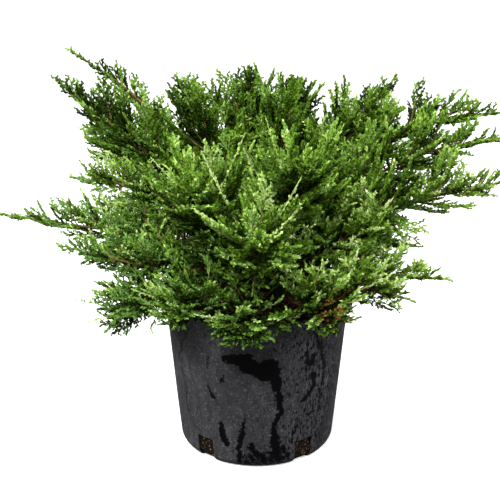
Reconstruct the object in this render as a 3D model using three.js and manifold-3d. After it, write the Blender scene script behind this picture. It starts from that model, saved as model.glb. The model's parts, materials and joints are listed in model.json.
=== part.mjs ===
// A young spreading juniper growing in a round nursery pot.
//
// Millimetres, +Z up. The origin is the middle of the pot's flat underside. A bearing is an angle in
// degrees round +Z from +X: 0 is east (+X), 90 north (+Y, the back), 180 west and 270 south (the front).
//
// The pot holds potting mix, a short flared stem stands in the mix, and boughs fork from the stem and
// from each other. Each bough carries one mass of foliage: a leading shoot that grows on from the bough's
// tip and is thickened into a slim core, side twigs from it, and toothed sprays of needles. Every mass
// keeps to its own space, and nothing touches a limb of another piece.

import * as THREE from "three";
import { mergeVertices } from "three/addons/utils/BufferGeometryUtils.js";
import Module from "manifold-3d";

const wasm = await Module();
wasm.setup();

// ---------------------------------------------------------------- driving dimensions

const GAP = 0.3; // clearance between neighbouring solids

const POT = {
  height: 240,
  baseRadius: 113.5,
  wallTopRadius: 137,
  wall: 2,
  floor: 2.5,
  lipRadius: 142,
  lipDepth: 16,
  segments: 36,
};

const CUTOUT = {
  bearings: [48, 127, 229, 306],
  width: 30,
  height: 40,
  reachIn: 14, // how far it also cuts the floor in from the wall
};

const MIX = {
  topAtStem: 206,
  topAtWall: 199,
  levelRadius: 34,
  bottomChamfer: 9,
};

const STEM = {
  height: 96,
  footRadius: 24,
  neckRadius: 11.5,
  tipRadius: 8,
  flareHeight: 9,
  kneeAt: 0.5, // share of its height up to which it rises straight before it leans
  lobes: 5,
  lobeDepth: 0.16,
  lobeHeight: 18,
  lean: [7, -9], // how far the tip stands off the foot, along X and Y
  sides: 10,
  steps: 6,
  clearance: 0.8, // between its round surface and the boughs that fork from it
  stepCrowding: 1.8, // above 1, the steps are closer together in the flare
};

const LIMB = {
  footRadius: 5.6,
  sideFootRadius: 4.6, // where it forks from another bough
  tipRadius: 3.2,
  sides: 5,
  steps: 3,
  chainSteps: 6, // straight pieces by which distances to a limb are measured
};

// A bough and the mass of foliage on it. The foot is where the bough ends and its mass starts, and the
// tip is where the mass's leading shoot ends: [bearing, distance from the axis, height]. The bough forks
// from the limb named, at that share of its length. The arch lifts the middle of the leading shoot, and
// the width is the half width of the mass.
function bough(name, foot, tip, from, forkAt, arch, width) {
  return { name, foot, tip, from, forkAt, arch, width };
}

const BOUGHS = [
  bough("west", [187, 95, 312], [185, 371, 368], "stem", 0.62, 2, 60),
  bough("west_low", [204, 112, 284], [197, 290, 340], "west", 0.45, -4, 60),
  bough("west_mid", [173, 92, 350], [176, 270, 406], "west", 0.5, 14, 68),
  bough("southwest_low", [207, 138, 264], [203, 234, 212], "stem", 0.38, 12, 70),
  bough("northwest", [164, 88, 372], [170, 296, 546], "stem", 0.86, 0, 86),
  bough("northwest_high", [140, 92, 380], [156, 303, 570], "northwest", 0.45, 26, 38),
  bough("top_west", [150, 50, 385], [154, 130, 546], "northwest", 0.55, 0, 88),
  bough("top", [50, 26, 385], [52, 100, 535], "stem", 1, 0, 98),
  bough("top_north", [100, 66, 384], [96, 128, 540], "top", 0.4, 0, 84),
  bough("top_east", [28, 78, 384], [22, 218, 540], "top", 0.5, 0, 74),
  bough("east_high", [18, 100, 380], [9, 369, 493], "east_mid", 0.5, 38, 72),
  bough("east_mid", [357, 92, 366], [0, 366, 472], "stem", 0.9, 26, 76),
  bough("east", [342, 96, 342], [350, 366, 430], "east_mid", 0.4, 8, 86),
  bough("east_low", [326, 100, 312], [332, 204, 372], "southeast", 0.5, 8, 60),
  bough("southeast", [330, 112, 276], [343, 284, 287], "stem", 0.6, 8, 50),
  bough("southeast_low", [314, 136, 266], [332, 246, 268], "stem", 0.38, 16, 46),
  bough("south", [292, 62, 326], [290, 206, 487], "stem", 0.78, 10, 112),
  bough("southwest", [236, 64, 322], [244, 214, 456], "stem", 0.72, 10, 112),
  bough("south_mid", [268, 80, 306], [270, 290, 418], "stem", 0.55, 8, 116),
  bough("south_low", [266, 134, 264], [264, 200, 240], "stem", 0.36, 8, 60),
  bough("south_low_west", [238, 134, 266], [236, 204, 254], "stem", 0.4, 8, 62),
  bough("south_low_east", [296, 134, 266], [300, 210, 252], "stem", 0.42, 10, 68),
  bough("north", [92, 86, 322], [88, 332, 432], "stem", 0.7, 10, 110),
  bough("northeast", [50, 88, 334], [46, 334, 450], "stem", 0.8, 8, 104),
  bough("north_far_west", [132, 88, 328], [142, 350, 422], "north", 0.4, 8, 100),
  bough("north_low", [92, 136, 264], [90, 246, 222], "stem", 0.38, 12, 84),
  bough("northwest_low", [146, 138, 266], [150, 264, 246], "stem", 0.46, 12, 100),
  bough("northeast_low", [38, 138, 266], [36, 256, 246], "stem", 0.5, 12, 90),
];

const MASS = {
  shootRadius: 2.7,
  shootTipRadius: 0.8,
  shootSides: 5,
  shootSteps: 6,
  coreReach: 0.72, // share of the leading shoot that the core wraps
  coreWidth: 0.22, // core half width as a share of the mass's
  // how its half width opens and closes along the leading shoot
  opening: { from: 0.16, span: 0.8, haste: 0.85, bluntness: 0.9, slimming: 0.55 },
  chainSteps: 8, // straight pieces by which distances to a leading shoot are measured
  nodeSpacing: 24, // along the leading shoot, from one side growth to the next
  fewestNodes: 8,
  twigEvery: 4, // every so many side growths is a twig with two sprays, and the others are lone sprays
  roll: 137.5, // from one side growth to the next, round the shoot
  rollSpread: 25,
  fork: 50, // between the leading shoot and its side growth
  forkSpread: 12,
  forkCloses: 0.4, // how much smaller the fork is at the shoot's tip, as a share
  reach: [0.8, 1.1], // of side growth, as a share of the mass's half width there
  rootInCore: 0.9, // how deep side growth is rooted, as a share of the core's radius
  twigLookAt: [0.3, 0.6, 1], // shares of a twig that must lie in the mass's space
  lift: 0.3, // how strongly side growth turns up towards the light
  twigShare: 0.42, // bare part of a side twig, as a share of its reach
  twigRadius: 1.8,
  twigTipRadius: 1.1,
  gapToNextMass: 2,
  gapToLimb: 1,
  gapToPot: 3,
};

// A spray of needles is a toothed blade. Its outline is given in shares of its length and width.
const SPRAY = {
  width: 0.44, // as a share of its length
  thickness: 4,
  atTip: 70, // length of the spray that ends a leading shoot
  pastTip: 0.1, // share of that spray that stands beyond the shoot
  atTwigTip: 0.67, // length of the others, as a share of the reach of their side growth
  atTwigSide: 0.46,
  shortest: 30,
  shorterBy: [1, 0.86, 0.72, 0.6, 0.48], // tried in turn until the spray fits
  sideFork: 44, // between a twig and its side spray
  sideRoot: 0.7, // share of the twig where the side spray is rooted
  tilt: 10, // how far its flat side turns either way
  rootSunk: 3,
  midlineGap: 12, // between the midlines of two sprays
  midline: [0.3, 1], // the part of the midline that counts, as shares of its length
  midlineSteps: 4,
  middle: [0.5, 0],
  outline: [
    [0, 0],
    [0.3, 0.44],
    [0.43, 0.16],
    [0.66, 0.5],
    [0.7, 0.18],
    [1, 0],
    [0.82, -0.3],
    [0.62, -0.15],
    [0.48, -0.5],
    [0.38, -0.16],
  ],
};

const LOOKS = {
  pot: { color: 0x3a3a3d, roughness: 0.55, metalness: 0 },
  mix: { color: 0x3b2a1c, roughness: 1, metalness: 0 },
  bark: { color: 0x7d4a2b, roughness: 0.9, metalness: 0 },
  foliage: { color: 0x4f7f33, roughness: 0.65, metalness: 0 },
};

const SEED = { first: 1009, step: 613, passed: 4 };

// ---------------------------------------------------------------- numbers and places

const RAD = Math.PI / 180;
const UP = new THREE.Vector3(0, 0, 1);

// Repeatable random numbers from 0 to 1 (Park and Miller's generator), so that any growth can be redrawn.
class Draw {
  constructor(seed) {
    this.state = seed;
    for (let i = 0; i < SEED.passed; i++) this.next();
  }
  next() {
    this.state = (this.state * 16807) % 2147483647;
    return this.state / 2147483647;
  }
  between(low, high) {
    return low + (high - low) * this.next();
  }
}

const mix = (a, b, t) => a + (b - a) * t;

// A point from its bearing, distance from the axis and height.
function place([bearing, reach, height]) {
  return new THREE.Vector3(reach * Math.cos(bearing * RAD), reach * Math.sin(bearing * RAD), height);
}

// The directions along, across and above a line that runs along `along`.
function frameOf(along) {
  const across = new THREE.Vector3().crossVectors(UP, along);
  if (across.lengthSq() < 1e-6) across.set(1, 0, 0);
  across.normalize();
  const above = new THREE.Vector3().crossVectors(along, across).normalize();
  return { along, across, above };
}

// The direction `fork` degrees off `along`, rolled `roll` degrees round it, and lifted towards the light.
function forked(along, fork, roll, lift) {
  const f = frameOf(along);
  return along
    .clone()
    .multiplyScalar(Math.cos(fork * RAD))
    .addScaledVector(f.across, Math.sin(fork * RAD) * Math.cos(roll * RAD))
    .addScaledVector(f.above, Math.sin(fork * RAD) * Math.sin(roll * RAD))
    .addScaledVector(UP, lift)
    .normalize();
}

// Distance from a point to a chain of points, and how far along the chain the nearest place is, 0 to 1.
function nearest(point, chain) {
  let best = { distance: Infinity, share: 0 };
  for (let i = 0; i + 1 < chain.length; i++) {
    const span = new THREE.Vector3().subVectors(chain[i + 1], chain[i]);
    const t = THREE.MathUtils.clamp(
      new THREE.Vector3().subVectors(point, chain[i]).dot(span) / span.lengthSq(), 0, 1);
    const distance = chain[i].clone().addScaledVector(span, t).distanceTo(point);
    if (distance < best.distance) best = { distance, share: (i + t) / (chain.length - 1) };
  }
  return best;
}

// ---------------------------------------------------------------- solids

// A manifold-3d solid from a closed three.js geometry.
function solidOf(geometry) {
  const bare = geometry.clone();
  bare.deleteAttribute("normal");
  bare.deleteAttribute("uv");
  const merged = mergeVertices(bare, 1e-3);
  return new wasm.Manifold(
    new wasm.Mesh({
      numProp: 3,
      vertProperties: new Float32Array(merged.attributes.position.array),
      triVerts: new Uint32Array(merged.index.array),
    }),
  );
}

// The three.js geometry of a manifold-3d solid.
function geometryOf(solid) {
  const mesh = solid.getMesh();
  const geometry = new THREE.BufferGeometry();
  geometry.setAttribute("position", new THREE.BufferAttribute(mesh.vertProperties, 3));
  geometry.setIndex(new THREE.BufferAttribute(mesh.triVerts, 1));
  geometry.computeVertexNormals();
  return geometry;
}

// The largest body of a solid. Close points are merged and the rest dropped until one body is left, so
// that no loose scrap or inner bubble stays.
function largest(solid) {
  const bodies = solidOf(geometryOf(solid)).decompose();
  return bodies.length === 1 ? solid : largest(bodies.reduce((a, b) => (b.volume() > a.volume() ? b : a)));
}

// A round limb along a curve, from one share of it to another, with its radius given by a function of the
// share. A cylinder is bent on to the curve.
function limbSolid(curve, from, to, radiusAt, sides, steps) {
  const geometry = new THREE.CylinderGeometry(1, 1, 1, sides, steps);
  const spots = geometry.attributes.position;
  for (let i = 0; i < spots.count; i++) {
    const share = mix(from, to, spots.getY(i) + 0.5);
    const f = frameOf(curve.getTangent(share));
    const middle = curve.getPoint(share);
    const radius = radiusAt(share);
    middle.addScaledVector(f.across, spots.getZ(i) * radius).addScaledVector(f.above, spots.getX(i) * radius);
    spots.setXYZ(i, middle.x, middle.y, middle.z);
  }
  return solidOf(geometry);
}

// Where a point of a spray's outline comes, u along it and v across it, in shares of its length and width.
function sprayPoint({ root, along, facing, length }, [u, v]) {
  const side = new THREE.Vector3().crossVectors(facing, along).normalize();
  return root.clone().addScaledVector(along, u * length).addScaledVector(side, v * length * SPRAY.width);
}

// The least distance between the midlines of two sprays, left out near their roots.
function sprayGap(a, b) {
  const midline = (spray) => SPRAY.midline.map((u) => sprayPoint(spray, [u, 0]));
  const [from, to] = midline(a);
  let least = Infinity;
  for (let i = 0; i <= SPRAY.midlineSteps; i++) {
    const spot = from.clone().lerp(to, i / SPRAY.midlineSteps);
    least = Math.min(least, nearest(spot, midline(b)).distance);
  }
  return least;
}

// A toothed spray of needles: a flat double cone whose rim is drawn in and out into teeth.
function spraySolid(spray) {
  const teeth = SPRAY.outline.length;
  const profile = [[0, -0.5], [1, 0], [0, 0.5]].map(([x, y]) => new THREE.Vector2(x, y));
  const geometry = new THREE.LatheGeometry(profile, teeth);
  const spots = geometry.attributes.position;
  const side = new THREE.Vector3().crossVectors(spray.facing, spray.along);
  const face = side.cross(spray.along).normalize();
  for (let i = 0; i < spots.count; i++) {
    const onRim = Math.abs(spots.getY(i)) < 1e-6;
    const tooth = Math.floor(i / profile.length) % teeth;
    const spot = sprayPoint(spray, onRim ? SPRAY.outline[tooth] : SPRAY.middle);
    spot.addScaledVector(face, spots.getY(i) * SPRAY.thickness);
    spots.setXYZ(i, spot.x, spot.y, spot.z);
  }
  return solidOf(geometry);
}

// ---------------------------------------------------------------- pot and potting mix

// The wall's outer radius at a height.
const wallRadius = (z) => mix(POT.baseRadius, POT.wallTopRadius, z / POT.height);

function lathe(profile, segments) {
  const geometry = new THREE.LatheGeometry(profile.map(([r, z]) => new THREE.Vector2(r, z)), segments);
  geometry.rotateX(Math.PI / 2); // the lathe turns round Y, and the pot stands on Z
  return solidOf(geometry);
}

// A plain round pot with a turned-down lip and four cut-outs through its bottom corner.
function potSolid() {
  const { height, wall, floor, lipRadius, lipDepth } = POT;
  const underLip = height - lipDepth;
  let pot = lathe(
    [
      [0, 0],
      [wallRadius(0), 0],
      [wallRadius(height - wall), height - wall],
      [lipRadius - wall, height - wall],
      [lipRadius - wall, underLip],
      [lipRadius, underLip],
      [lipRadius, height],
      [wallRadius(height) - wall, height],
      [wallRadius(floor) - wall, floor],
      [0, floor],
    ],
    POT.segments,
  );
  for (const bearing of CUTOUT.bearings) {
    const depth = CUTOUT.reachIn * 2;
    const box = new THREE.BoxGeometry(depth, CUTOUT.width, CUTOUT.height * 2);
    box.translate(POT.baseRadius, 0, 0);
    box.rotateZ(bearing * RAD);
    pot = pot.subtract(solidOf(box));
  }
  return pot;
}

// Potting mix that fills the pot to a little under its rim, level round the stem.
function mixSolid() {
  const inside = (z) => wallRadius(z) - POT.wall - GAP;
  const bottom = POT.floor + GAP;
  return lathe(
    [
      [0, bottom],
      [inside(bottom) - MIX.bottomChamfer, bottom],
      [inside(bottom + MIX.bottomChamfer), bottom + MIX.bottomChamfer],
      [inside(MIX.topAtWall), MIX.topAtWall],
      [MIX.levelRadius, MIX.topAtStem],
      [0, MIX.topAtStem],
    ],
    POT.segments,
  );
}

// ---------------------------------------------------------------- stem and boughs

const stemFoot = new THREE.Vector3(-STEM.lean[0] / 2, -STEM.lean[1] / 2, MIX.topAtStem + GAP);
const stemTip = stemFoot.clone().add(new THREE.Vector3(STEM.lean[0], STEM.lean[1], STEM.height));
const stemKnee = stemFoot.clone().add(new THREE.Vector3(0, 0, STEM.height * STEM.kneeAt));

function stemRadius(share) {
  const straight = mix(STEM.neckRadius, STEM.tipRadius, share);
  const flare = (STEM.footRadius - STEM.neckRadius) * Math.exp((-share * STEM.height) / STEM.flareHeight);
  return straight + flare;
}

// The stem, cut flat at the mix, with its roots' flare in lobes that fade as it rises.
function stemSolid(curve) {
  const geometry = new THREE.CylinderGeometry(1, 1, 1, STEM.sides, STEM.steps);
  const spots = geometry.attributes.position;
  for (let i = 0; i < spots.count; i++) {
    const share = (spots.getY(i) + 0.5) ** STEM.stepCrowding;
    const round = Math.atan2(spots.getZ(i), spots.getX(i));
    const onAxis = Math.hypot(spots.getX(i), spots.getZ(i)) < 1e-6;
    const fade = Math.exp((-share * STEM.height) / STEM.lobeHeight);
    const lobe = 1 + STEM.lobeDepth * Math.cos(round * STEM.lobes) * fade;
    const radius = onAxis ? 0 : stemRadius(share) * lobe;
    const middle = curve.getPoint(share);
    spots.setXYZ(i, middle.x + radius * Math.cos(round), middle.y - radius * Math.sin(round), middle.z);
  }
  return solidOf(geometry);
}

// Each limb's curve, its radius along that curve, and how far along the curve its wood ends.
const limbs = new Map();

limbs.set("stem", {
  curve: new THREE.QuadraticBezierCurve3(stemFoot, stemKnee, stemTip),
  end: 1,
  radiusAt: stemRadius,
});

// One smooth line from the parent limb through the bough's foot to the tip of its mass.
function leaderCurve(row) {
  const parent = limbs.get(row.from);
  const start = parent.curve.getPoint(row.forkAt * parent.end);
  const foot = place(row.foot);
  const tip = place(row.tip);
  const middle = foot.clone().lerp(tip, 0.5);
  middle.z += row.arch;
  return new THREE.CatmullRomCurve3([start, foot, middle, tip], false, "catmullrom", 0.5);
}

const FOOT_SHARE = 1 / 3; // where the leader's curve passes the bough's foot

function growLimbs() {
  const waiting = [...BOUGHS];
  while (waiting.length) {
    const row = waiting.shift();
    if (!limbs.has(row.from)) {
      waiting.push(row);
      continue;
    }
    const foot = row.from === "stem" ? LIMB.footRadius : LIMB.sideFootRadius;
    const radiusAt = (share) => mix(foot, LIMB.tipRadius, Math.min(share / FOOT_SHARE, 1));
    limbs.set(row.name, { curve: leaderCurve(row), end: FOOT_SHARE, radiusAt });
  }
}

// A bough's solid, or with `extra` the fatter and longer space that others keep out of.
function boughSolid(name, extra = 0) {
  const { curve, end, radiusAt } = limbs.get(name);
  const longer = end + extra / curve.getLength();
  return limbSolid(curve, 0, longer, (share) => radiusAt(share) + extra, LIMB.sides, LIMB.steps);
}

// ---------------------------------------------------------------- foliage

// How far along its leader's curve a share of a mass's leading shoot comes.
const alongShoot = (share) => mix(FOOT_SHARE, 1, share);

// The leading shoot of a mass as a chain of points, for measuring distances to it.
function shootChain(name) {
  const { curve } = limbs.get(name);
  const steps = MASS.chainSteps;
  return Array.from({ length: steps + 1 }, (_, i) => curve.getPoint(alongShoot(i / steps)));
}

// Half width of a mass along its shoot, as a share: it opens quickly, and closes slowly to the tip.
function fullness(share) {
  const { from, span, haste, bluntness, slimming } = MASS.opening;
  const opened = Math.sin(Math.PI * (from + span * share) ** haste) ** bluntness;
  return opened * (1 - slimming * share ** 2);
}

// The extra radius of a mass's core, a spindle round the inner part of its leading shoot.
function coreRadius(row, share) {
  return row.width * MASS.coreWidth * Math.sin(Math.PI * Math.min(share / MASS.coreReach, 1));
}

// The space of one mass: where its own shoot is the nearest for its width, clear of limbs and pot.
class Space {
  constructor(name, masses) {
    this.name = name;
    this.own = masses.get(name);
    this.others = [...masses].filter(([other]) => other !== name).map(([, mass]) => mass);
    this.limbs = [...limbs]
      .filter(([other]) => other !== name)
      .map(([, { curve, end, radiusAt }]) => ({
        chain: curve.getPoints(LIMB.chainSteps / end).slice(0, LIMB.chainSteps + 1),
        radiusAt: (share) => radiusAt(share * end),
      }));
  }

  holds(point) {
    return !this.touchesPot(point) && !this.touchesLimb(point) && this.isNearestTo(point);
  }

  isNearestTo(point) {
    const reach = nearest(point, this.own.chain).distance / this.own.width;
    return this.others.every(
      ({ chain, width }) => nearest(point, chain).distance > reach * width + MASS.gapToNextMass,
    );
  }

  touchesLimb(point) {
    return this.limbs.some(({ chain, radiusAt }) => {
      const { distance, share } = nearest(point, chain);
      return distance < radiusAt(share) + MASS.gapToLimb;
    });
  }

  touchesPot(point) {
    const beside = Math.hypot(point.x, point.y) > POT.lipRadius + MASS.gapToPot;
    return !beside && point.z < POT.height + MASS.gapToPot;
  }
}

// A spray from `root` along `along`, edge-on to the shoot it comes from. It is made shorter until it fits
// in the mass's space, clear of the sprays before it, and is undefined where no length fits.
function fittedSpray(root, along, length, onward, tilt, sprays, space) {
  const level = new THREE.Vector3().crossVectors(onward, along).normalize();
  const facing = level.applyAxisAngle(along, tilt * RAD);
  const start = root.clone().addScaledVector(along, -SPRAY.rootSunk);
  return SPRAY.shorterBy
    .map((by) => ({ root: start, along, facing, length: length * by + SPRAY.rootSunk }))
    .filter((spray) => spray.length > SPRAY.shortest)
    .filter((spray) => sprays.every((other) => sprayGap(spray, other) > SPRAY.midlineGap))
    .find((spray) => SPRAY.outline.slice(1).every((point) => space.holds(sprayPoint(spray, point))));
}

// The twigs and sprays of one mass, by the rule that the whole plant follows. Side growth leaves the
// leading shoot at a golden angle from each other, forward and up, as long as the mass is wide there. It
// is a lone spray, or a twig with one spray at its tip and one at its side. What would leave the mass's
// space is made shorter, or skipped.
function growMass(row, index, space) {
  const draw = new Draw(SEED.first + SEED.step * index);
  const { curve } = limbs.get(row.name);
  const shootLength = curve.getLength() * (1 - FOOT_SHARE);
  const count = Math.max(MASS.fewestNodes, Math.round(shootLength / MASS.nodeSpacing));
  const twigs = [];
  const sprays = [];
  const addSpray = (root, along, length, onward, tilt) => {
    const spray = fittedSpray(root, along, length, onward, tilt, sprays, space);
    if (spray) sprays.push(spray);
    return spray;
  };
  for (let k = 0; k < count; k++) {
    const share = (k + 0.5) / count;
    const roll = k * MASS.roll + draw.between(-1, 1) * MASS.rollSpread;
    const fork = MASS.fork + draw.between(-1, 1) * MASS.forkSpread;
    const reach = row.width * fullness(share) * draw.between(...MASS.reach);
    const tilt = draw.between(-1, 1) * SPRAY.tilt;
    const sideFork = draw.next() < 0.5 ? -SPRAY.sideFork : SPRAY.sideFork;
    const onward = curve.getTangent(alongShoot(share));
    const along = forked(onward, fork * (1 - MASS.forkCloses * share), roll, MASS.lift);
    const sunk = coreRadius(row, share) * MASS.rootInCore;
    const root = curve.getPoint(alongShoot(share)).addScaledVector(along, sunk);
    const tip = root.clone().addScaledVector(along, reach * MASS.twigShare);
    const fits = MASS.twigLookAt.every((t) => space.holds(root.clone().lerp(tip, t)));
    const isTwig = fits && k % MASS.twigEvery === 1;
    const end = isTwig && addSpray(tip, along, reach * SPRAY.atTwigTip, onward, tilt);
    if (!end) {
      addSpray(root, along, reach, onward, tilt);
      continue;
    }
    twigs.push({ root: root.clone().addScaledVector(along, -SPRAY.rootSunk), tip });
    const out = along.clone().applyAxisAngle(end.facing, sideFork * RAD);
    addSpray(root.clone().lerp(tip, SPRAY.sideRoot), out, reach * SPRAY.atTwigSide, onward, tilt);
  }
  const onward = curve.getTangent(1);
  const facing = forked(onward, 90, draw.between(0, 180), 0);
  const root = curve.getPoint(1).addScaledVector(onward, (SPRAY.pastTip - 1) * SPRAY.atTip);
  sprays.push({ root, along: onward, facing, length: SPRAY.atTip });
  return { twigs, sprays };
}

function twigSolid({ root, tip }) {
  const radiusAt = (share) => mix(MASS.twigRadius, MASS.twigTipRadius, share);
  return limbSolid(new THREE.LineCurve3(root, tip), 0, 1, radiusAt, 3, 1);
}

// The leading shoot with its core, from just clear of its bough's end.
function shootSolid(row) {
  const { curve } = limbs.get(row.name);
  const radiusAt = (at) => {
    const share = (at - FOOT_SHARE) / (1 - FOOT_SHARE);
    return mix(MASS.shootRadius, MASS.shootTipRadius, share) + coreRadius(row, share);
  };
  const start = FOOT_SHARE + GAP / curve.getLength();
  return limbSolid(curve, start, 1, radiusAt, MASS.shootSides, MASS.shootSteps);
}

function massSolid(row, index, masses) {
  const { twigs, sprays } = growMass(row, index, new Space(row.name, masses));
  return largest(wasm.Manifold.union([shootSolid(row), ...twigs.map(twigSolid), ...sprays.map(spraySolid)]));
}

// ---------------------------------------------------------------- the plant in its pot

growLimbs();

const plant = new THREE.Group();
const materials = Object.fromEntries(
  Object.entries(LOOKS).map(([name, look]) => [name, new THREE.MeshStandardMaterial(look)]),
);

function addNode(name, solid, look) {
  const mesh = new THREE.Mesh(geometryOf(solid), materials[look]);
  mesh.name = name;
  plant.add(mesh);
}

addNode("pot", potSolid(), "pot");
addNode("potting_mix", mixSolid(), "mix");

const stem = stemSolid(limbs.get("stem").curve);
addNode("stem", stem, "bark");

// Limbs are cut clear of every limb made before them, so that each fork keeps its gap.
const roomRound = (share) => stemRadius(share) + STEM.clearance;
const stemSpace = limbSolid(limbs.get("stem").curve, 0, 1, roomRound, STEM.sides + 2, STEM.steps);
let limbSpace = wasm.Manifold.union([stem, stemSpace]);
for (const name of [...limbs.keys()].filter((key) => key !== "stem")) {
  addNode("bough_" + name, largest(boughSolid(name).subtract(limbSpace)), "bark");
  limbSpace = limbSpace.add(boughSolid(name, GAP));
}

const masses = new Map(BOUGHS.map((row) => [row.name, { chain: shootChain(row.name), width: row.width }]));
BOUGHS.forEach((row, index) => addNode("foliage_" + row.name, massSolid(row, index, masses), "foliage"));

export default plant;
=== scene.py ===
"""A young spreading juniper in a round nursery pot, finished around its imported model.

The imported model's frame is used as it is: +Z up, and the origin in the middle of the pot's flat underside.
Sizes are written in millimetres, as in the model's own source, and every mesh is made in metres. A bearing
is an angle in degrees round +Z from +X: 0 is east, 90 north (the back), 180 west and 270 south (the front).

The pot, its mix and the bark are shaped by operators. The foliage follows the rule of the model's masses,
a leading shoot with side growth at a golden angle, and carries it on to sprays and to needle-clad sprigs.
"""

from __future__ import annotations

import json
import logging
import math
from collections.abc import Callable, Iterable
from dataclasses import dataclass, field
from enum import Enum

import bmesh
import bpy
import numpy as np
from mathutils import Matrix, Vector, noise

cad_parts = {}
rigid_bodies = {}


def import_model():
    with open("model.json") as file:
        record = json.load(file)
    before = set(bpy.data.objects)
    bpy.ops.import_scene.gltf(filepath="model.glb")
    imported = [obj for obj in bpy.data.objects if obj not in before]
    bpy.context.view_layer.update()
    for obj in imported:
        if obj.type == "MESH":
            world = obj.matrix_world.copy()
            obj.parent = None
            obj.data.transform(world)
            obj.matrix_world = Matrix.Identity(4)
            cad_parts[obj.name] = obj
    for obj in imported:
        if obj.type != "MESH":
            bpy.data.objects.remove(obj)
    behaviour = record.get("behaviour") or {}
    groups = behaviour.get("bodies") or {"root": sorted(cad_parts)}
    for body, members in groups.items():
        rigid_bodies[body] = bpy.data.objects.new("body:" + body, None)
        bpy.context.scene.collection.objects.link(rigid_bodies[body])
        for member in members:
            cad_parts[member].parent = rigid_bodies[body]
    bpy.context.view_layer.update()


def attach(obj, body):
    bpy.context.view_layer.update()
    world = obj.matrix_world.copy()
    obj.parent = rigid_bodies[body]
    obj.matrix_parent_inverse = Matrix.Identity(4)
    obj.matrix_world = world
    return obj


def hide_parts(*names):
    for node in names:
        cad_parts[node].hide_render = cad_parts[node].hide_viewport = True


log = logging.getLogger("juniper")

MM = 0.001
UP = np.array([0.0, 0.0, 1.0])
BODY = "root"
LARGEST_PIECE = 190_000  # triangles, past which a joined piece is split in two
Pair = tuple[float, float]
Triple = tuple[float, float, float]
Colour = tuple[float, float, float, float]


# ---------------------------------------------------------------- the modelling bench


class Bench:
    """Steps that are done by hand on a modelling bench, each as one short call."""

    @staticmethod
    def clear() -> None:
        """Leave edit mode and leave nothing selected."""
        if bpy.context.object and bpy.context.object.mode != "OBJECT":
            bpy.ops.object.mode_set(mode="OBJECT")
        bpy.ops.object.select_all(action="DESELECT")

    @staticmethod
    def take(piece: bpy.types.Object) -> None:
        """Make one piece the only one that operators act on."""
        Bench.clear()
        piece.select_set(True)
        bpy.context.view_layer.objects.active = piece

    @staticmethod
    def name_new(name: str) -> bpy.types.Object:
        """Name the primitive that was added last.

        Args:
            name: The piece's plain name.

        Returns:
            The new piece.
        """
        piece = bpy.context.object
        piece.name = name
        piece.data.name = name
        return piece

    @staticmethod
    def pick_edges(piece: bpy.types.Object, wanted: Callable[[Vector], bool]) -> None:
        """Select the edges whose middle is wanted, and nothing else, in edit mode.

        Args:
            piece: The piece, in edit mode.
            wanted: Says of an edge's middle, in metres, whether it is selected.
        """
        bpy.ops.mesh.select_mode(type="EDGE")
        bpy.ops.mesh.select_all(action="DESELECT")
        mesh = bmesh.from_edit_mesh(piece.data)
        for edge in mesh.edges:
            edge.select_set(wanted((edge.verts[0].co + edge.verts[1].co) / 2))
        mesh.select_flush_mode()
        bmesh.update_edit_mesh(piece.data)

    @staticmethod
    def turned_from_disc(name: str, stations: list[Pair], sides: int) -> bpy.types.Object:
        """Draw a round closed body up from a flat disc, as a turner follows a profile.

        Args:
            name: The piece's name.
            stations: Radius and height of each ring, in millimetres, the disc's own first.
            sides: How many sides the rings have.

        Returns:
            The closed piece, in object mode, with its last ring filled.
        """
        Bench.clear()
        radius, height = stations[0]
        bpy.ops.mesh.primitive_circle_add(
            vertices=sides, radius=radius * MM, fill_type="NGON", location=(0, 0, height * MM)
        )
        piece = Bench.name_new(name)
        bpy.ops.object.transform_apply(location=True, rotation=True, scale=True)
        bpy.ops.object.mode_set(mode="EDIT")
        Bench.pick_edges(piece, lambda middle: True)
        for next_radius, next_height in stations[1:]:
            rise = (0, 0, (next_height - height) * MM)
            scale = next_radius / radius
            bpy.ops.mesh.extrude_edges_move(TRANSFORM_OT_translate={"value": rise})
            bpy.ops.transform.resize(value=(scale, scale, 1), center_override=(0, 0, next_height * MM))
            radius, height = next_radius, next_height
        bpy.ops.mesh.edge_face_add()
        bpy.ops.mesh.select_all(action="SELECT")
        bpy.ops.mesh.remove_doubles(threshold=0.01 * MM)
        bpy.ops.mesh.normals_make_consistent(inside=False)
        bpy.ops.object.mode_set(mode="OBJECT")
        return piece

    @staticmethod
    def finish_modifier(piece: bpy.types.Object, kind: str, **settings: object) -> None:
        """Give a piece one modifier and apply it.

        Args:
            piece: The piece.
            kind: The modifier's type, such as BEVEL.
            **settings: The modifier's settings.
        """
        Bench.take(piece)
        modifier = piece.modifiers.new(kind.title(), kind)
        for key, value in settings.items():
            setattr(modifier, key, value)
        bpy.ops.object.modifier_apply(modifier=modifier.name)

    @staticmethod
    def smooth(piece: bpy.types.Object, angle: float) -> None:
        """Shade a piece smooth, with edges sharper than the angle, in degrees, kept."""
        Bench.take(piece)
        bpy.ops.object.shade_smooth_by_angle(angle=math.radians(angle))

    @staticmethod
    def joined(name: str, spots: np.ndarray, faces: np.ndarray) -> bpy.types.Object:
        """Make one flat-shaded mesh of many small things.

        Args:
            name: The piece's name.
            spots: Every corner, in millimetres.
            faces: Every triangle, as three numbers of corners.

        Returns:
            The new piece.
        """
        mesh = bpy.data.meshes.new(name)
        mesh.vertices.add(len(spots))
        mesh.vertices.foreach_set("co", (spots * MM).astype(np.float32).ravel())
        mesh.loops.add(faces.size)
        mesh.loops.foreach_set("vertex_index", faces.astype(np.int32).ravel())
        mesh.polygons.add(len(faces))
        mesh.polygons.foreach_set("loop_start", np.arange(0, faces.size, 3, dtype=np.int32))
        mesh.update(calc_edges=True)
        mesh.shade_flat()
        piece = bpy.data.objects.new(name, mesh)
        bpy.context.scene.collection.objects.link(piece)
        return piece


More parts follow.
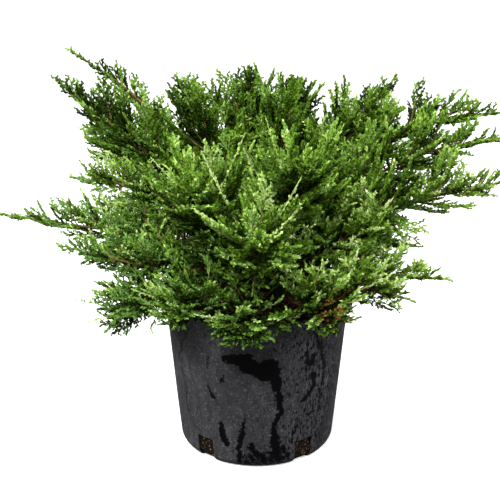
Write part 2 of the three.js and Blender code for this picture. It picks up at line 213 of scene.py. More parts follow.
def level(bearing: float, reach: float) -> Pair:
    """A level place from its bearing in degrees and its distance from the axis."""
    angle = math.radians(bearing)
    return reach * math.cos(angle), reach * math.sin(angle)


def turning(angle: float, first: int, second: int) -> np.ndarray:
    """The matrix of a turn, by an angle in radians, from one axis towards another."""
    turn = np.eye(3)
    turn[first, first] = turn[second, second] = math.cos(angle)
    turn[second, first], turn[first, second] = math.sin(angle), -math.sin(angle)
    return turn


def hand_in(piece: bpy.types.Object, material: bpy.types.Material, slot: str, *nodes: str) -> None:
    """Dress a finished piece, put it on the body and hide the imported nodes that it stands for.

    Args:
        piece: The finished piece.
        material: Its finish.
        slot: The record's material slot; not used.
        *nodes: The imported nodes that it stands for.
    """
    piece.data.materials.clear()
    piece.data.materials.append(material)
    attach(piece, BODY)
    if nodes:
        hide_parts(*nodes)
    log.info("%s: %d faces", piece.name, len(piece.data.polygons))


# ---------------------------------------------------------------- finishes


class Recipe:
    """A material written as short steps, each one a shader node."""

    def __init__(self, name: str) -> None:
        """Start an empty material with that name."""
        self.material = bpy.data.materials.new(name)
        self.material.use_nodes = True
        self.tree = self.material.node_tree
        self.tree.nodes.clear()
        self.place = self.step("ShaderNodeTexCoord").outputs["Object"]

    def step(
        self, kind: str, /, _inputs: dict[str | int, object] | None = None, **settings: object
    ) -> bpy.types.Node:
        """Add a node.

        Args:
            kind: The node's type.
            _inputs: For each input, by name or number, a plain value or the output that feeds it.
            **settings: The node's own settings.

        Returns:
            The new node.
        """
        node = self.tree.nodes.new(kind)
        for key, value in settings.items():
            setattr(node, key, value)
        for key, value in (_inputs or {}).items():
            if isinstance(value, bpy.types.NodeSocket):
                self.tree.links.new(value, node.inputs[key])
            else:
                node.inputs[key].default_value = value
        return node

    def maths(self, operation: str, *values: object, clamp: bool = False) -> bpy.types.NodeSocket:
        """Work out a number from one to three others, each a value or an output."""
        inputs = dict(enumerate(values))
        return self.step("ShaderNodeMath", inputs, operation=operation, use_clamp=clamp).outputs[0]

    def vectors(self, operation: str, *values: object) -> bpy.types.Node:
        """Work out a vector or a number from one to three vectors, each a value or an output."""
        return self.step("ShaderNodeVectorMath", dict(enumerate(values)), operation=operation)

    def scaled(self, place: bpy.types.NodeSocket, scale: Triple, turn: float = 0.0) -> bpy.types.NodeSocket:
        """A place multiplied by a scale for each axis, and turned in its own plane by an angle in radians."""
        inputs = {"Vector": place, "Rotation": (0, 0, turn), "Scale": scale}
        return self.step("ShaderNodeMapping", inputs).outputs[0]

    def grain(
        self, vector: bpy.types.NodeSocket, scale: float, detail: float = 4.0, roughness: float = 0.55
    ) -> bpy.types.NodeSocket:
        """A cloudy value round 0.5.

        Args:
            vector: The place that it is read at.
            scale: Features for each unit of the place.
            detail: Octaves of finer grain.
            roughness: How strong the finer grain is.

        Returns:
            The value, from 0 to 1.
        """
        inputs = {"Vector": vector, "Scale": scale, "Detail": detail, "Roughness": roughness}
        return self.step("ShaderNodeTexNoise", inputs).outputs[0]

    def between(self, value: object, low: float, high: float) -> bpy.types.NodeSocket:
        """The share of the way from low to high, held to 0 and 1, with soft ends."""
        inputs = {"Value": value, "From Min": low, "From Max": high}
        return self.step("ShaderNodeMapRange", inputs, interpolation_type="SMOOTHSTEP").outputs[0]

    def blend(self, share: object, first: object, second: object) -> bpy.types.NodeSocket:
        """A colour between two colours, each a value of four numbers or an output."""
        node = self.step("ShaderNodeMix", data_type="RGBA")
        for socket, value in ((node.inputs[0], share), (node.inputs[6], first), (node.inputs[7], second)):
            if isinstance(value, bpy.types.NodeSocket):
                self.tree.links.new(value, socket)
            else:
                socket.default_value = value
        return node.outputs[2]

    def relief(self, height: bpy.types.NodeSocket, depth: float) -> bpy.types.NodeSocket:
        """A bump of that depth, in millimetres, from a height of 0 to 1."""
        return self.step("ShaderNodeBump", {"Height": height, "Distance": depth * MM}).outputs[0]

    def finished(self, inputs: dict[str, object]) -> bpy.types.Material:
        """Close the material with its surface.

        Args:
            inputs: The surface's inputs by name, each a plain value or an output.

        Returns:
            The material.
        """
        surface = self.step("ShaderNodeBsdfPrincipled", inputs)
        self.step("ShaderNodeOutputMaterial", {"Surface": surface.outputs[0]})
        return self.material


def shade(red: float, green: float, blue: float) -> Colour:
    """A colour's working values from its screen values of 0 to 255, by the screen's own curve."""
    return tuple(((part / 255 + 0.055) / 1.055) ** 2.4 for part in (red, green, blue)) + (1.0,)


@dataclass(frozen=True)
class WetMark:
    """A wet mark on the pot's wall, a streak whose width runs from one value to another.

    Attributes:
        start: Bearing in degrees and height in millimetres where it starts.
        end: Bearing and height where it ends.
        widths: Half width at the start and at the end, in millimetres.
    """

    start: Pair
    end: Pair
    widths: Pair


@dataclass(frozen=True)
class DustyPlasticFinish:
    """Black moulded plastic under a dry grey film, with wet marks where water has run.

    Scales are features for each millimetre of the unrolled wall, round it and up it.
    """

    film: Colour = shade(45, 45, 47)
    film_light: Colour = shade(96, 96, 98)
    film_dark: Colour = shade(36, 36, 38)
    wet: Colour = shade(0, 0, 3)
    clean: Colour = shade(34, 34, 36)
    soil: Colour = shade(52, 46, 26)
    wall_radius: float = 124.0  # the radius at which marks are measured round the wall
    wet_edge: float = 0.5  # half the soft edge of a wet mark
    wiped_edge: float = 3.0  # half the soft edge of a wiped patch
    shakes: tuple[Pair, ...] = ((0.05, 16.0), (0.2, 9.0), (0.7, 4.5))  # scale and reach
    smear_scale: Triple = (0.10, 0.05, 1)
    cloud_scale: Triple = (0.02, 0.012, 1)
    dust_scale: Triple = (260, 260, 260)  # for each metre
    fleck_scale: Triple = (0.30, 0.11, 1)
    fleck_turn: float = 0.5  # radians that the flecks lean
    patch_scale: Triple = (0.018, 0.015, 1)
    fleck_side: Pair = (-60.0, 110.0)  # round the wall, from few flecks to many
    splash_side: Pair = (52.0, 30.0)  # to each side of its middle, from no splash to all
    splash_middle: float = 8.0
    splash_height: Pair = (52.0, 18.0)
    soil_height: Pair = (34.0, 6.0)
    gloss: float = 0.08
    relief: float = 0.5

    def material(self, marks: Iterable[WetMark], wiped: Iterable[WetMark]) -> bpy.types.Material:
        """Mix the finish.

        Args:
            marks: The wet marks.
            wiped: The patches that are wiped clean of film.

        Returns:
            The material.
        """
        mix = Recipe("dusty_plastic")
        split = mix.step("ShaderNodeSeparateXYZ", {"Vector": mix.place})
        facing_out = mix.maths("MULTIPLY", split.outputs[1], -1.0)
        angle = mix.maths("ARCTAN2", split.outputs[0], facing_out)
        around = mix.maths("MULTIPLY", angle, self.wall_radius)
        height = mix.maths("MULTIPLY", split.outputs[2], 1 / MM)
        wall = mix.step("ShaderNodeCombineXYZ", {0: around, 1: height}).outputs[0]

        ragged = self._shaken(mix, wall)
        wet = mix.between(self._distance(mix, ragged, marks), self.wet_edge, -self.wet_edge)
        clean = mix.between(self._distance(mix, ragged, wiped), self.wiped_edge, -self.wiped_edge)

        smears = mix.grain(mix.scaled(wall, self.smear_scale), 1.0, detail=6.0, roughness=0.75)
        clouds = mix.grain(mix.scaled(wall, self.cloud_scale), 1.0, detail=3.0)
        dust = mix.grain(mix.scaled(mix.place, self.dust_scale), 1.0, detail=4.0, roughness=0.8)
        film = mix.blend(mix.between(clouds, 0.42, 1.1), self.film, self.film_light)
        film = mix.blend(mix.between(smears, 0.62, 0.36), film, self.film_dark)
        film = mix.blend(mix.maths("MULTIPLY", mix.between(dust, 0.52, 0.72), 0.8), film, self.film_light)

        flecks = self._flecks(mix, wall, around)
        near_foot = mix.between(height, *self.soil_height)
        splash = self._splash(mix, wall, around, height)
        dark = mix.maths("MAXIMUM", mix.maths("MAXIMUM", wet, flecks), splash)

        colour = mix.blend(clean, film, self.clean)
        crumbs = mix.between(mix.grain(wall, 0.2, detail=4.0, roughness=0.6), 0.55, 0.68)
        soiled = mix.maths("MULTIPLY", near_foot, crumbs)
        colour = mix.blend(mix.maths("MULTIPLY", soiled, 0.5), colour, self.soil)
        colour = mix.blend(dark, colour, self.wet)
        rough = mix.maths("MULTIPLY_ADD", clean, -0.22, 0.62)
        rough = mix.maths("MULTIPLY_ADD", dark, -0.2, rough)
        bumps = mix.maths("MULTIPLY_ADD", dust, 0.35, mix.maths("MULTIPLY", smears, 0.8))
        surface = {"Base Color": colour, "Roughness": rough, "Specular IOR Level": self.gloss}
        return mix.finished({**surface, "Normal": mix.relief(bumps, self.relief)})

    def _flecks(
        self, mix: Recipe, wall: bpy.types.NodeSocket, around: bpy.types.NodeSocket
    ) -> bpy.types.NodeSocket:
        """Small leaning flecks of wet, in loose patches, more of them towards the east."""
        leaning = mix.scaled(wall, self.fleck_scale, self.fleck_turn)
        specks = mix.grain(leaning, 1.0, detail=3.0, roughness=0.6)
        patches = mix.grain(mix.scaled(wall, self.patch_scale), 1.0, detail=2.0)
        limit = mix.maths("MULTIPLY_ADD", mix.between(around, *self.fleck_side), -0.16, 0.69)
        limit = mix.maths("MULTIPLY_ADD", patches, -0.12, mix.maths("ADD", limit, 0.05))
        return mix.maths("MULTIPLY", mix.maths("SUBTRACT", specks, limit), 40.0, clamp=True)

    def _splash(
        self,
        mix: Recipe,
        wall: bpy.types.NodeSocket,
        around: bpy.types.NodeSocket,
        height: bpy.types.NodeSocket,
    ) -> bpy.types.NodeSocket:
        """Splashes of wet low on the front of the wall."""
        off_middle = mix.maths("ABSOLUTE", mix.maths("ADD", around, -self.splash_middle))
        in_front = mix.between(off_middle, *self.splash_side)
        low = mix.maths("MULTIPLY", mix.between(height, *self.splash_height), in_front)
        blots = mix.grain(wall, 0.16, detail=5.0, roughness=0.7)
        return mix.between(mix.maths("MULTIPLY_ADD", low, 0.24, blots), 0.69, 0.71)

    def _shaken(self, mix: Recipe, wall: bpy.types.NodeSocket) -> bpy.types.NodeSocket:
        """The place on the wall, shaken by a few millimetres, so that marks get ragged edges."""
        total = wall
        for scale, reach in self.shakes:
            inputs = {"Vector": wall, "Scale": scale, "Detail": 3.0}
            cloud = mix.step("ShaderNodeTexNoise", inputs).outputs[1]
            centred = mix.vectors("SUBTRACT", cloud, (0.5, 0.5, 0.5)).outputs[0]
            total = mix.vectors("MULTIPLY_ADD", centred, (reach, reach, 0), total).outputs[0]
        return mix.vectors("MULTIPLY", total, (1, 1, 0)).outputs[0]

    def _distance(
        self, mix: Recipe, wall: bpy.types.NodeSocket, marks: Iterable[WetMark]
    ) -> bpy.types.NodeSocket:
        """How far a place on the wall is from the nearest mark's edge, negative inside a mark."""
        nearest: object = 1000.0
        for mark in marks:
            start, end = (
                Vector((math.radians(bearing - 270) * self.wall_radius, rise, 0))
                for bearing, rise in (mark.start, mark.end)
            )
            span = end - start
            off = mix.vectors("SUBTRACT", wall, start).outputs[0]
            share = mix.vectors("DOT_PRODUCT", off, span / span.length_squared).outputs["Value"]
            share = mix.maths("ADD", share, 0.0, clamp=True)
            foot = mix.step("ShaderNodeVectorMath", {0: span, "Scale": share}, operation="SCALE").outputs[0]
            away = mix.vectors("DISTANCE", off, foot).outputs["Value"]
            width = mix.maths("MULTIPLY_ADD", share, mark.widths[1] - mark.widths[0], mark.widths[0])
            nearest = mix.maths("MINIMUM", nearest, mix.maths("SUBTRACT", away, width))
        return nearest


@dataclass(frozen=True)
class MixFinish:
    """Damp potting mix: dark peat with tan fibres and brown bark."""

    peat: Colour = shade(20, 14, 10)
    fibre: Colour = shade(132, 94, 48)
    speck: Colour = shade(6, 5, 4)

    def material(self) -> bpy.types.Material:
        """Mix the finish and return the material."""
        mix = Recipe("potting_mix")
        crumbs = mix.step("ShaderNodeTexVoronoi", {"Vector": mix.place, "Scale": 260.0, "Randomness": 1.0})
        tone = mix.grain(mix.place, 180.0, 5.0, 0.7)
        colour = mix.blend(mix.between(tone, 0.4, 0.62), self.speck, self.peat)
        colour = mix.blend(mix.between(mix.grain(mix.place, 300.0, 2.0), 0.62, 0.68), colour, self.fibre)
        bumps = mix.maths("ADD", crumbs.outputs[0], tone)
        surface = {"Base Color": colour, "Roughness": 0.95, "Specular IOR Level": 0.1}
        return mix.finished({**surface, "Normal": mix.relief(bumps, 1.5)})


@dataclass(frozen=True)
class BarkFinish:
    """Bark that runs along a limb in strips, or the smooth skin of a young twig.

    Attributes:
        name: The material's name.
        strip: The colour of most of the bark.
        flake: The colour of the raised strips.
        crack: The colour between the strips.
        grain_scale: Strips for each millimetre round the limb.
    """

    name: str
    strip: Colour
    flake: Colour
    crack: Colour
    grain_scale: float = 0.5

    def material(self) -> bpy.types.Material:
        """Mix the finish from the grain attribute, which follows each limb, and return the material."""
        mix = Recipe(self.name)
        grain = mix.step("ShaderNodeAttribute", attribute_name=GRAIN).outputs["Vector"]
        strips = mix.grain(mix.scaled(grain, (1.0, 0.12, 1.0)), self.grain_scale, detail=5.0, roughness=0.65)
        colour = mix.blend(mix.between(strips, 0.36, 0.5), self.crack, self.strip)
        colour = mix.blend(mix.between(strips, 0.52, 0.66), colour, self.flake)
        return mix.finished({"Base Color": colour, "Roughness": 0.85, "Normal": mix.relief(strips, 0.8)})


@dataclass(frozen=True)
class LeafFinish:
    """One green of the foliage, a little mottled.

    Attributes:
        name: The material's name.
        green: Its colour.
        roughness: How dull it is.
        mottle: How dark and how light it gets, as shares of its colour.
    """

    name: str
    green: Colour
    roughness: float = 0.5
    mottle: Pair = (0.8, 1.18)

    def material(self) -> bpy.types.Material:
        """Mix the finish and return the material."""
        mix = Recipe(self.name)
        cloud = mix.between(mix.grain(mix.place, 160.0, detail=2.0), 0.3, 0.7)
        dark, light = (
            tuple(min(part * share, 1.0) for part in self.green[:3]) + (1.0,) for share in self.mottle
        )
        colour = mix.blend(cloud, dark, light)
        return mix.finished({"Base Color": colour, "Roughness": self.roughness, "Specular IOR Level": 0.1})


class Green(Enum):
    """The greens of the foliage, from the shaded inside to the fresh tips, and the russet of old sprays."""

    SHADED = LeafFinish("needles_shaded", shade(33, 54, 8), 0.6)
    DEEP = LeafFinish("needles_deep", shade(72, 103, 24), 0.55)
    DUSKY = LeafFinish("needles_dusky", shade(68, 100, 37), 0.6)
    COOL = LeafFinish("needles_cool", shade(110, 148, 70), 0.55)
    MIDDLE = LeafFinish("needles_middle", shade(108, 145, 44), 0.5)
    BRIGHT = LeafFinish("needles_bright", shade(158, 188, 96), 0.5)
    FRESH = LeafFinish("needles_fresh", shade(190, 208, 140), 0.5)
    RUSSET = LeafFinish("needles_russet", shade(148, 104, 54), 0.6)


GRAIN = "grain"  # the attribute that tells a limb's bark where it is, round and along, in millimetres
OLD_BARK = BarkFinish("old_bark", shade(128, 78, 48), shade(176, 120, 80), shade(62, 36, 24))
YOUNG_BARK = BarkFinish("young_bark", shade(104, 78, 38), shade(136, 104, 56), shade(70, 52, 26), 1.2)
GREEN_BARK = BarkFinish("green_bark", shade(120, 142, 66), shade(150, 168, 96), shade(88, 108, 44), 1.2)


# ---------------------------------------------------------------- the pot and its mix


@dataclass
class NurseryPot:
    """A round blow-moulded pot with a turned-down lip and four cut-outs through its bottom corner."""

    height: float = 240.0
    base_radius: float = 113.5
    wall_top_radius: float = 137.0
    wall: float = 2.0
    floor: float = 2.5
    lip_radius: float = 142.0
    lip_depth: float = 16.0
    corner: float = 16.0  # radius of the bottom corner
    sides: int = 144
    wall_steps: int = 12
    cutout_bearings: tuple[float, ...] = (48.0, 127.0, 229.0, 306.0)
    cutout_width: float = 30.0
    cutout_height: float = 40.0
    cutout_reach: float = 14.0  # how far a cut-out also cuts the floor in from the wall
    edge: float = 0.5  # rounding of every moulded edge
    sway: float = 0.9  # how far the thin wall strays from round at its top
    sway_scale: Triple = (14, 14, 9)  # for each metre
    finish: DustyPlasticFinish = field(default_factory=DustyPlasticFinish)

    def wall_radius(self, height: float) -> float:
        """The wall's outer radius at a height."""
        return self.base_radius + (self.wall_top_radius - self.base_radius) * height / self.height

    def profile(self, inset: float, low: float, top: float, steps: int) -> list[Pair]:
        """The wall's side view from the rounded bottom corner up.

        Args:
            inset: How far inside the outer face it runs.
            low: Height of the flat bottom that it starts from.
            top: Height that it ends at.
            steps: How many rings the straight wall has.

        Returns:
            Radius and height of each ring.
        """
        bend = self.corner - inset
        centre = self.wall_radius(self.corner) - self.corner
        turns = [math.radians(angle) for angle in range(0, 91, 15)]
        corner = [(centre + bend * math.sin(t), low + bend * (1 - math.cos(t))) for t in turns]
        start = corner[-1][1]
        heights = [start + (top - start) * i / steps for i in range(1, steps + 1)]
        return corner + [(self.wall_radius(z) - inset, z) for z in heights]

    def build(self) -> bpy.types.Object:
        """Shape the pot and return it."""
        under_top = self.height - self.wall
        skirt = self.lip_radius - self.wall
        lip_foot = self.height - self.lip_depth
        lip = [(skirt, under_top), (skirt, lip_foot), (self.lip_radius, lip_foot)]
        outside = self.profile(0, 0, under_top, self.wall_steps)
        inside = self.profile(self.wall, self.floor, self.height, self.wall_steps)
        stations = outside + lip + [(self.lip_radius, self.height)] + inside[::-1]
        pot = Bench.turned_from_disc("pot_shell", stations, self.sides)
        for bearing in self.cutout_bearings:
            self._cut(pot, bearing)
        sharp = {"limit_method": "ANGLE", "angle_limit": math.radians(40)}
        Bench.finish_modifier(pot, "BEVEL", width=self.edge * MM, segments=2, **sharp)
        self._warp(pot)
        Bench.smooth(pot, 35)
        return pot

    def _cut(self, pot: bpy.types.Object, bearing: float) -> None:
        """Cut one slot through the pot's bottom corner at a bearing."""
        Bench.clear()
        bpy.ops.mesh.primitive_cube_add(size=1, location=(self.base_radius * MM, 0, 0))
        cutter = Bench.name_new("cutter")
        bpy.ops.object.mode_set(mode="EDIT")
        bpy.ops.mesh.select_all(action="SELECT")
        size = (self.cutout_reach * 2 * MM, self.cutout_width * MM, self.cutout_height * 2 * MM)
        bpy.ops.transform.resize(value=size, center_override=(self.base_radius * MM, 0, 0))
        bpy.ops.mesh.subdivide(number_cuts=6)
        bpy.ops.mesh.vertices_smooth(factor=0.12)
        bpy.ops.object.mode_set(mode="OBJECT")
        cutter.rotation_euler = (0, 0, math.radians(bearing))
        cutter.location = (*level(bearing, self.base_radius * MM), 0)
        Bench.take(cutter)
        bpy.ops.object.transform_apply(location=True, rotation=True, scale=True)
        Bench.finish_modifier(pot, "BOOLEAN", object=cutter, operation="DIFFERENCE", solver="EXACT")
        bpy.data.objects.remove(cutter)

    def _warp(self, pot: bpy.types.Object) -> None:
        """Move the wall a little in and out, as a thin used pot is never quite round."""
        for vertex in pot.data.vertices:
            spot = vertex.co
            lift = min(spot.z / (self.height * MM), 1.0)
            sway = noise.noise(Vector([part * scale for part, scale in zip(spot, self.sway_scale)]))
            outward = Vector((spot.x, spot.y, 0))
            if outward.length > 0.05:
                vertex.co += outward.normalized() * sway * lift * self.sway * MM

    @staticmethod
    def runs(streaks: Iterable[tuple[Triple, ...]]) -> list[WetMark]:
        """Straight marks from bend to bend of every streak."""
        pairs = [pair for streak in streaks for pair in zip(streak, streak[1:])]
        return [WetMark(a[:2], b[:2], (a[2], b[2])) for a, b in pairs]

    def dress(self, pot: bpy.types.Object) -> None:
        """Give the pot its film and marks, put it on the body and hide the node that it stands for."""
        hand_in(pot, self.finish.material(self.runs(WET_STREAKS), self.runs(WIPED_STREAKS)), "pot", "pot")


# Where water has run down the wall: bearing, height and half width of each bend of a streak.
WET_STREAKS = (
    ((249, 184, 3.8), (253, 180, 7.2), (259, 182, 9.4), (263, 174, 11.6), (267, 170, 10.2)),
    ((267, 170, 10.2), (271, 167, 9.4), (275, 173, 11.6), (279, 174, 10.9), (282, 168, 5.8)),
    ((260, 190, 3.5), (264, 186, 8.7), (269, 178, 5.8)),
    ((269, 162, 4.3), (273, 157, 5.1), (277, 153, 5.8)),
    ((279, 161, 9.4), (282, 141, 6.1), (284, 120, 5.8), (286, 95, 5.2)),
    ((286, 95, 5.2), (282, 78, 4.1), (283, 35, 8.7), (284, 18, 7.2)),
    ((261, 86, 1.7), (260, 64, 3.5), (258, 44, 4.6), (256, 32, 3.2), (258, 9, 3.2)),
    ((244, 72, 4.3), (245, 54, 5.5), (249, 38, 4.6)),
    ((237, 181, 1.2), (237, 164, 1.3)),
    ((248, 155, 2.0), (246, 141, 1.9)),
    ((236, 129, 1.4), (238, 120, 2.9), (239, 114, 3.8)),
    ((211, 144, 1.2), (213, 69, 1.7)),
    ((225, 223, 1.7), (207, 154, 1.6)),
    ((307, 220, 2.2), (312, 193, 2.6), (319, 153, 2.9), (317, 77, 1.7)),
    ((309, 149, 3.8), (309, 124, 4.1), (304, 111, 4.3), (300, 107, 2.6)),
    ((308, 179, 3.5), (305, 169, 4.1)),
    ((302, 204, 1.7), (303, 161, 2.0)),
    ((313, 83, 2.3), (307, 82, 2.6)),
    ((299, 78, 1.7), (296, 54, 2.3), (295, 39, 2.0)),
    ((265, 38, 5.2), (275, 18, 5.2)),
    ((289, 38, 3.8), (293, 16, 3.5)),
)
# Where the film is wiped off and the black plastic shows clean.
WIPED_STREAKS = (((339, 74, 14.2), (331, 55, 15.0), (322, 29, 12.0)),)


@dataclass
class PottingMix:
    """The mix that fills the pot, with loose chips of bark on it."""

    pot: NurseryPot
    top_at_stem: float = 206.0
    top_at_wall: float = 199.0
    level_radius: float = 34.0
    clearance: float = 0.4
    sides: int = 128
    wall_steps: int = 40
    top_rings: int = 34
    hollow: float = 3.0  # radius of the last ring, round the axis
    chips: int = 900
    crumble: Pair = (3.2, 2.4)  # how far corners are pushed in, on top and at the wall
    chip_length: Pair = (4.0, 13.0)
    chip_width: Pair = (0.3, 0.6)  # as a share of its length
    chip_thickness: Pair = (0.8, 1.8)
    chip_slope: float = 0.28  # radians, the usual tip of a chip off the level

    def build(self) -> bpy.types.Object:
        """Shape the body of the mix, with its crumbled top, and return it."""
        inset = self.pot.wall + self.clearance
        low = self.pot.floor + self.clearance
        outside = self.pot.profile(inset, low, self.top_at_wall, self.wall_steps)
        edge = outside[-1][0]
        top = []
        for i in range(1, self.top_rings):
            radius = edge + (self.hollow - edge) * i / (self.top_rings - 1)
            top.append((radius, self._top(radius)))
        body = Bench.turned_from_disc("potting_mix_body", outside + top, self.sides)
        for vertex in body.data.vertices:
            self._crumble(vertex)
        Bench.smooth(body, 60)
        return body

    def _top(self, radius: float) -> float:
        """Height of the mix at a distance from the axis."""
        slope = (radius - self.level_radius) / (self.pot.wall_radius(self.top_at_wall) - self.level_radius)
        return self.top_at_stem + (self.top_at_wall - self.top_at_stem) * max(0.0, slope)

    def _crumble(self, vertex: bpy.types.MeshVertex) -> None:
        """Push one corner of the mix in, by up to a few millimetres."""
        spot = vertex.co
        rough = noise.fractal(Vector(spot) * 160, 0.8, 2.2, 3) * 0.5 + 0.5
        if spot.z > self.top_at_wall * MM - 0.0015:
            vertex.co.z -= rough * self.crumble[0] * MM
        else:
            outward = Vector((spot.x, spot.y, 0))
            vertex.co -= outward.normalized() * max(rough, 0) * self.crumble[1] * MM

    def build_chips(self) -> bpy.types.Object:
        """Scatter chips of bark over the top of the mix and return them, joined."""
        chance = np.random.default_rng(41)
        corners = np.array([[x, y, z] for x in (-1, 1) for y in (-1, 1) for z in (-1, 1)], float)
        quads = [(0, 1, 3, 2), (4, 6, 7, 5), (0, 4, 5, 1), (2, 3, 7, 6), (0, 2, 6, 4), (1, 5, 7, 3)]
        faces = np.array([t for a, b, c, d in quads for t in ((a, b, c), (a, c, d))])
        spots, triangles = [], []
        edge = self.pot.wall_radius(self.top_at_wall) - self.pot.wall - 8
        for i in range(self.chips):
            length = chance.uniform(*self.chip_length)
            width = length * chance.uniform(*self.chip_width)
            size = np.array([length, width, chance.uniform(*self.chip_thickness)]) / 2
            shape = corners * size * chance.uniform(0.6, 1.15, (8, 3))
            turn = turning(chance.uniform(0, math.tau), 0, 1)
            tip = turning(chance.normal(0, self.chip_slope), 2, 0)
            radius, angle = edge * math.sqrt(chance.uniform(0.03, 1)), chance.uniform(0, math.tau)
            middle = np.array([radius * math.cos(angle), radius * math.sin(angle), self._top(radius) - 0.4])
            spots.append(shape @ (turn @ tip).T + middle)
            triangles.append(faces + len(corners) * i)
        return Bench.joined("bark_chips", np.concatenate(spots), np.concatenate(triangles))

    def dress(self, body: bpy.types.Object, chips: bpy.types.Object) -> None:
        """Give the mix and its chips their finishes, put them on the body and hide the node that they stand
        for.
        """
        hand_in(body, MixFinish().material(), "potting_mix", "potting_mix")
        chip_bark = MixFinish(peat=shade(86, 54, 32), fibre=shade(140, 98, 60), speck=shade(30, 19, 12))
        hand_in(chips, chip_bark.material(), "potting_mix", "potting_mix")


# ---------------------------------------------------------------- how the plant grows


@dataclass(frozen=True)
class Bough:
    """A bough and the mass of foliage on it, as the model's source gives them.

    Attributes:
        name: The bough's name.
        foot: Bearing, distance from the axis and height where the bough ends and its mass starts.
        tip: The same for the end of the mass's leading shoot.
        parent: The limb that it forks from.
        fork_at: The share of the parent's length where it forks.
        arch: How far the middle of the leading shoot is lifted.
        width: Half width of the mass.
    """

    name: str
    foot: Triple
    tip: Triple
    parent: str
    fork_at: float
    arch: float
    width: float


BOUGHS = (
    Bough("west", (187, 95, 312), (185, 371, 368), "stem", 0.62, 2, 60),
    Bough("west_low", (204, 112, 284), (197, 290, 340), "west", 0.45, -4, 60),
    Bough("west_mid", (173, 92, 350), (176, 270, 406), "west", 0.5, 14, 68),
    Bough("southwest_low", (207, 138, 264), (203, 234, 212), "stem", 0.38, 12, 70),
    Bough("northwest", (164, 88, 372), (170, 296, 546), "stem", 0.86, 0, 86),
    Bough("northwest_high", (140, 92, 380), (156, 303, 570), "northwest", 0.45, 26, 38),
    Bough("top_west", (150, 50, 385), (154, 130, 546), "northwest", 0.55, 0, 88),
    Bough("top", (50, 26, 385), (52, 100, 535), "stem", 1, 0, 98),
    Bough("top_north", (100, 66, 384), (96, 128, 540), "top", 0.4, 0, 84),
    Bough("top_east", (28, 78, 384), (22, 218, 540), "top", 0.5, 0, 74),
    Bough("east_high", (18, 100, 380), (9, 369, 493), "east_mid", 0.5, 38, 72),
    Bough("east_mid", (357, 92, 366), (0, 366, 472), "stem", 0.9, 26, 76),
    Bough("east", (342, 96, 342), (350, 366, 430), "east_mid", 0.4, 8, 86),
    Bough("east_low", (326, 100, 312), (332, 204, 372), "southeast", 0.5, 8, 60),
    Bough("southeast", (330, 112, 276), (343, 284, 287), "stem", 0.6, 8, 50),
    Bough("southeast_low", (314, 136, 266), (332, 246, 268), "stem", 0.38, 16, 46),
    Bough("south", (292, 62, 326), (290, 206, 487), "stem", 0.78, 10, 112),
    Bough("southwest", (236, 64, 322), (244, 214, 456), "stem", 0.72, 10, 112),
    Bough("south_mid", (268, 80, 306), (270, 290, 418), "stem", 0.55, 8, 116),
    Bough("south_low", (266, 134, 264), (264, 200, 240), "stem", 0.36, 8, 60),
    Bough("south_low_west", (238, 134, 266), (236, 204, 254), "stem", 0.4, 8, 62),
    Bough("south_low_east", (296, 134, 266), (300, 210, 252), "stem", 0.42, 10, 68),
    Bough("north", (92, 86, 322), (88, 332, 432), "stem", 0.7, 10, 110),
    Bough("northeast", (50, 88, 334), (46, 334, 450), "stem", 0.8, 8, 104),
    Bough("north_far_west", (132, 88, 328), (142, 350, 422), "north", 0.4, 8, 100),
    Bough("north_low", (92, 136, 264), (90, 246, 222), "stem", 0.38, 12, 84),
    Bough("northwest_low", (146, 138, 266), (150, 264, 246), "stem", 0.46, 12, 100),
    Bough("northeast_low", (38, 138, 266), (36, 256, 246), "stem", 0.5, 12, 90),
)


class Draw:
    """Repeatable random numbers from 0 to 1, by Park and Miller's generator, as in the model's source."""

    def __init__(self, seed: int) -> None:
        """Start from a seed and pass over the first four draws."""
        self.state = seed
        for _ in range(4):
            self.next()

    def next(self) -> float:
        """The next number from 0 to 1."""
        self.state = (self.state * 16807) % 2147483647
        return self.state / 2147483647

    def between(self, low: float, high: float) -> float:
        """The next number, from low to high."""
        return low + (high - low) * self.next()


def place(spot: Triple) -> np.ndarray:
    """A point in millimetres from its bearing, distance from the axis and height."""
    bearing, reach, height = spot
    return np.array([*level(bearing, reach), height])


def unit(vectors: np.ndarray) -> np.ndarray:
    """Vectors of length one, along the last axis."""
    return vectors / np.maximum(np.linalg.norm(vectors, axis=-1, keepdims=True), 1e-9)


def squared(vectors: np.ndarray, along: np.ndarray) -> np.ndarray:
    """Vectors turned square to others, both in rows of length one."""
    return unit(vectors - along * (vectors * along).sum(1, keepdims=True))


def forked(along: np.ndarray, fork: float, roll: float, lift: float) -> np.ndarray:
    """The direction of side growth.

    Args:
        along: Unit direction of the shoot that it leaves.
        fork: Degrees between the two.
        roll: Degrees round the shoot.
        lift: How strongly it turns up towards the light.

    Returns:
        The unit direction.
    """
    across = unit(np.cross(UP, along))
    above = unit(np.cross(along, across))
    out = across * math.cos(math.radians(roll)) + above * math.sin(math.radians(roll))
    return unit(along * math.cos(math.radians(fork)) + out * math.sin(math.radians(fork)) + UP * lift)


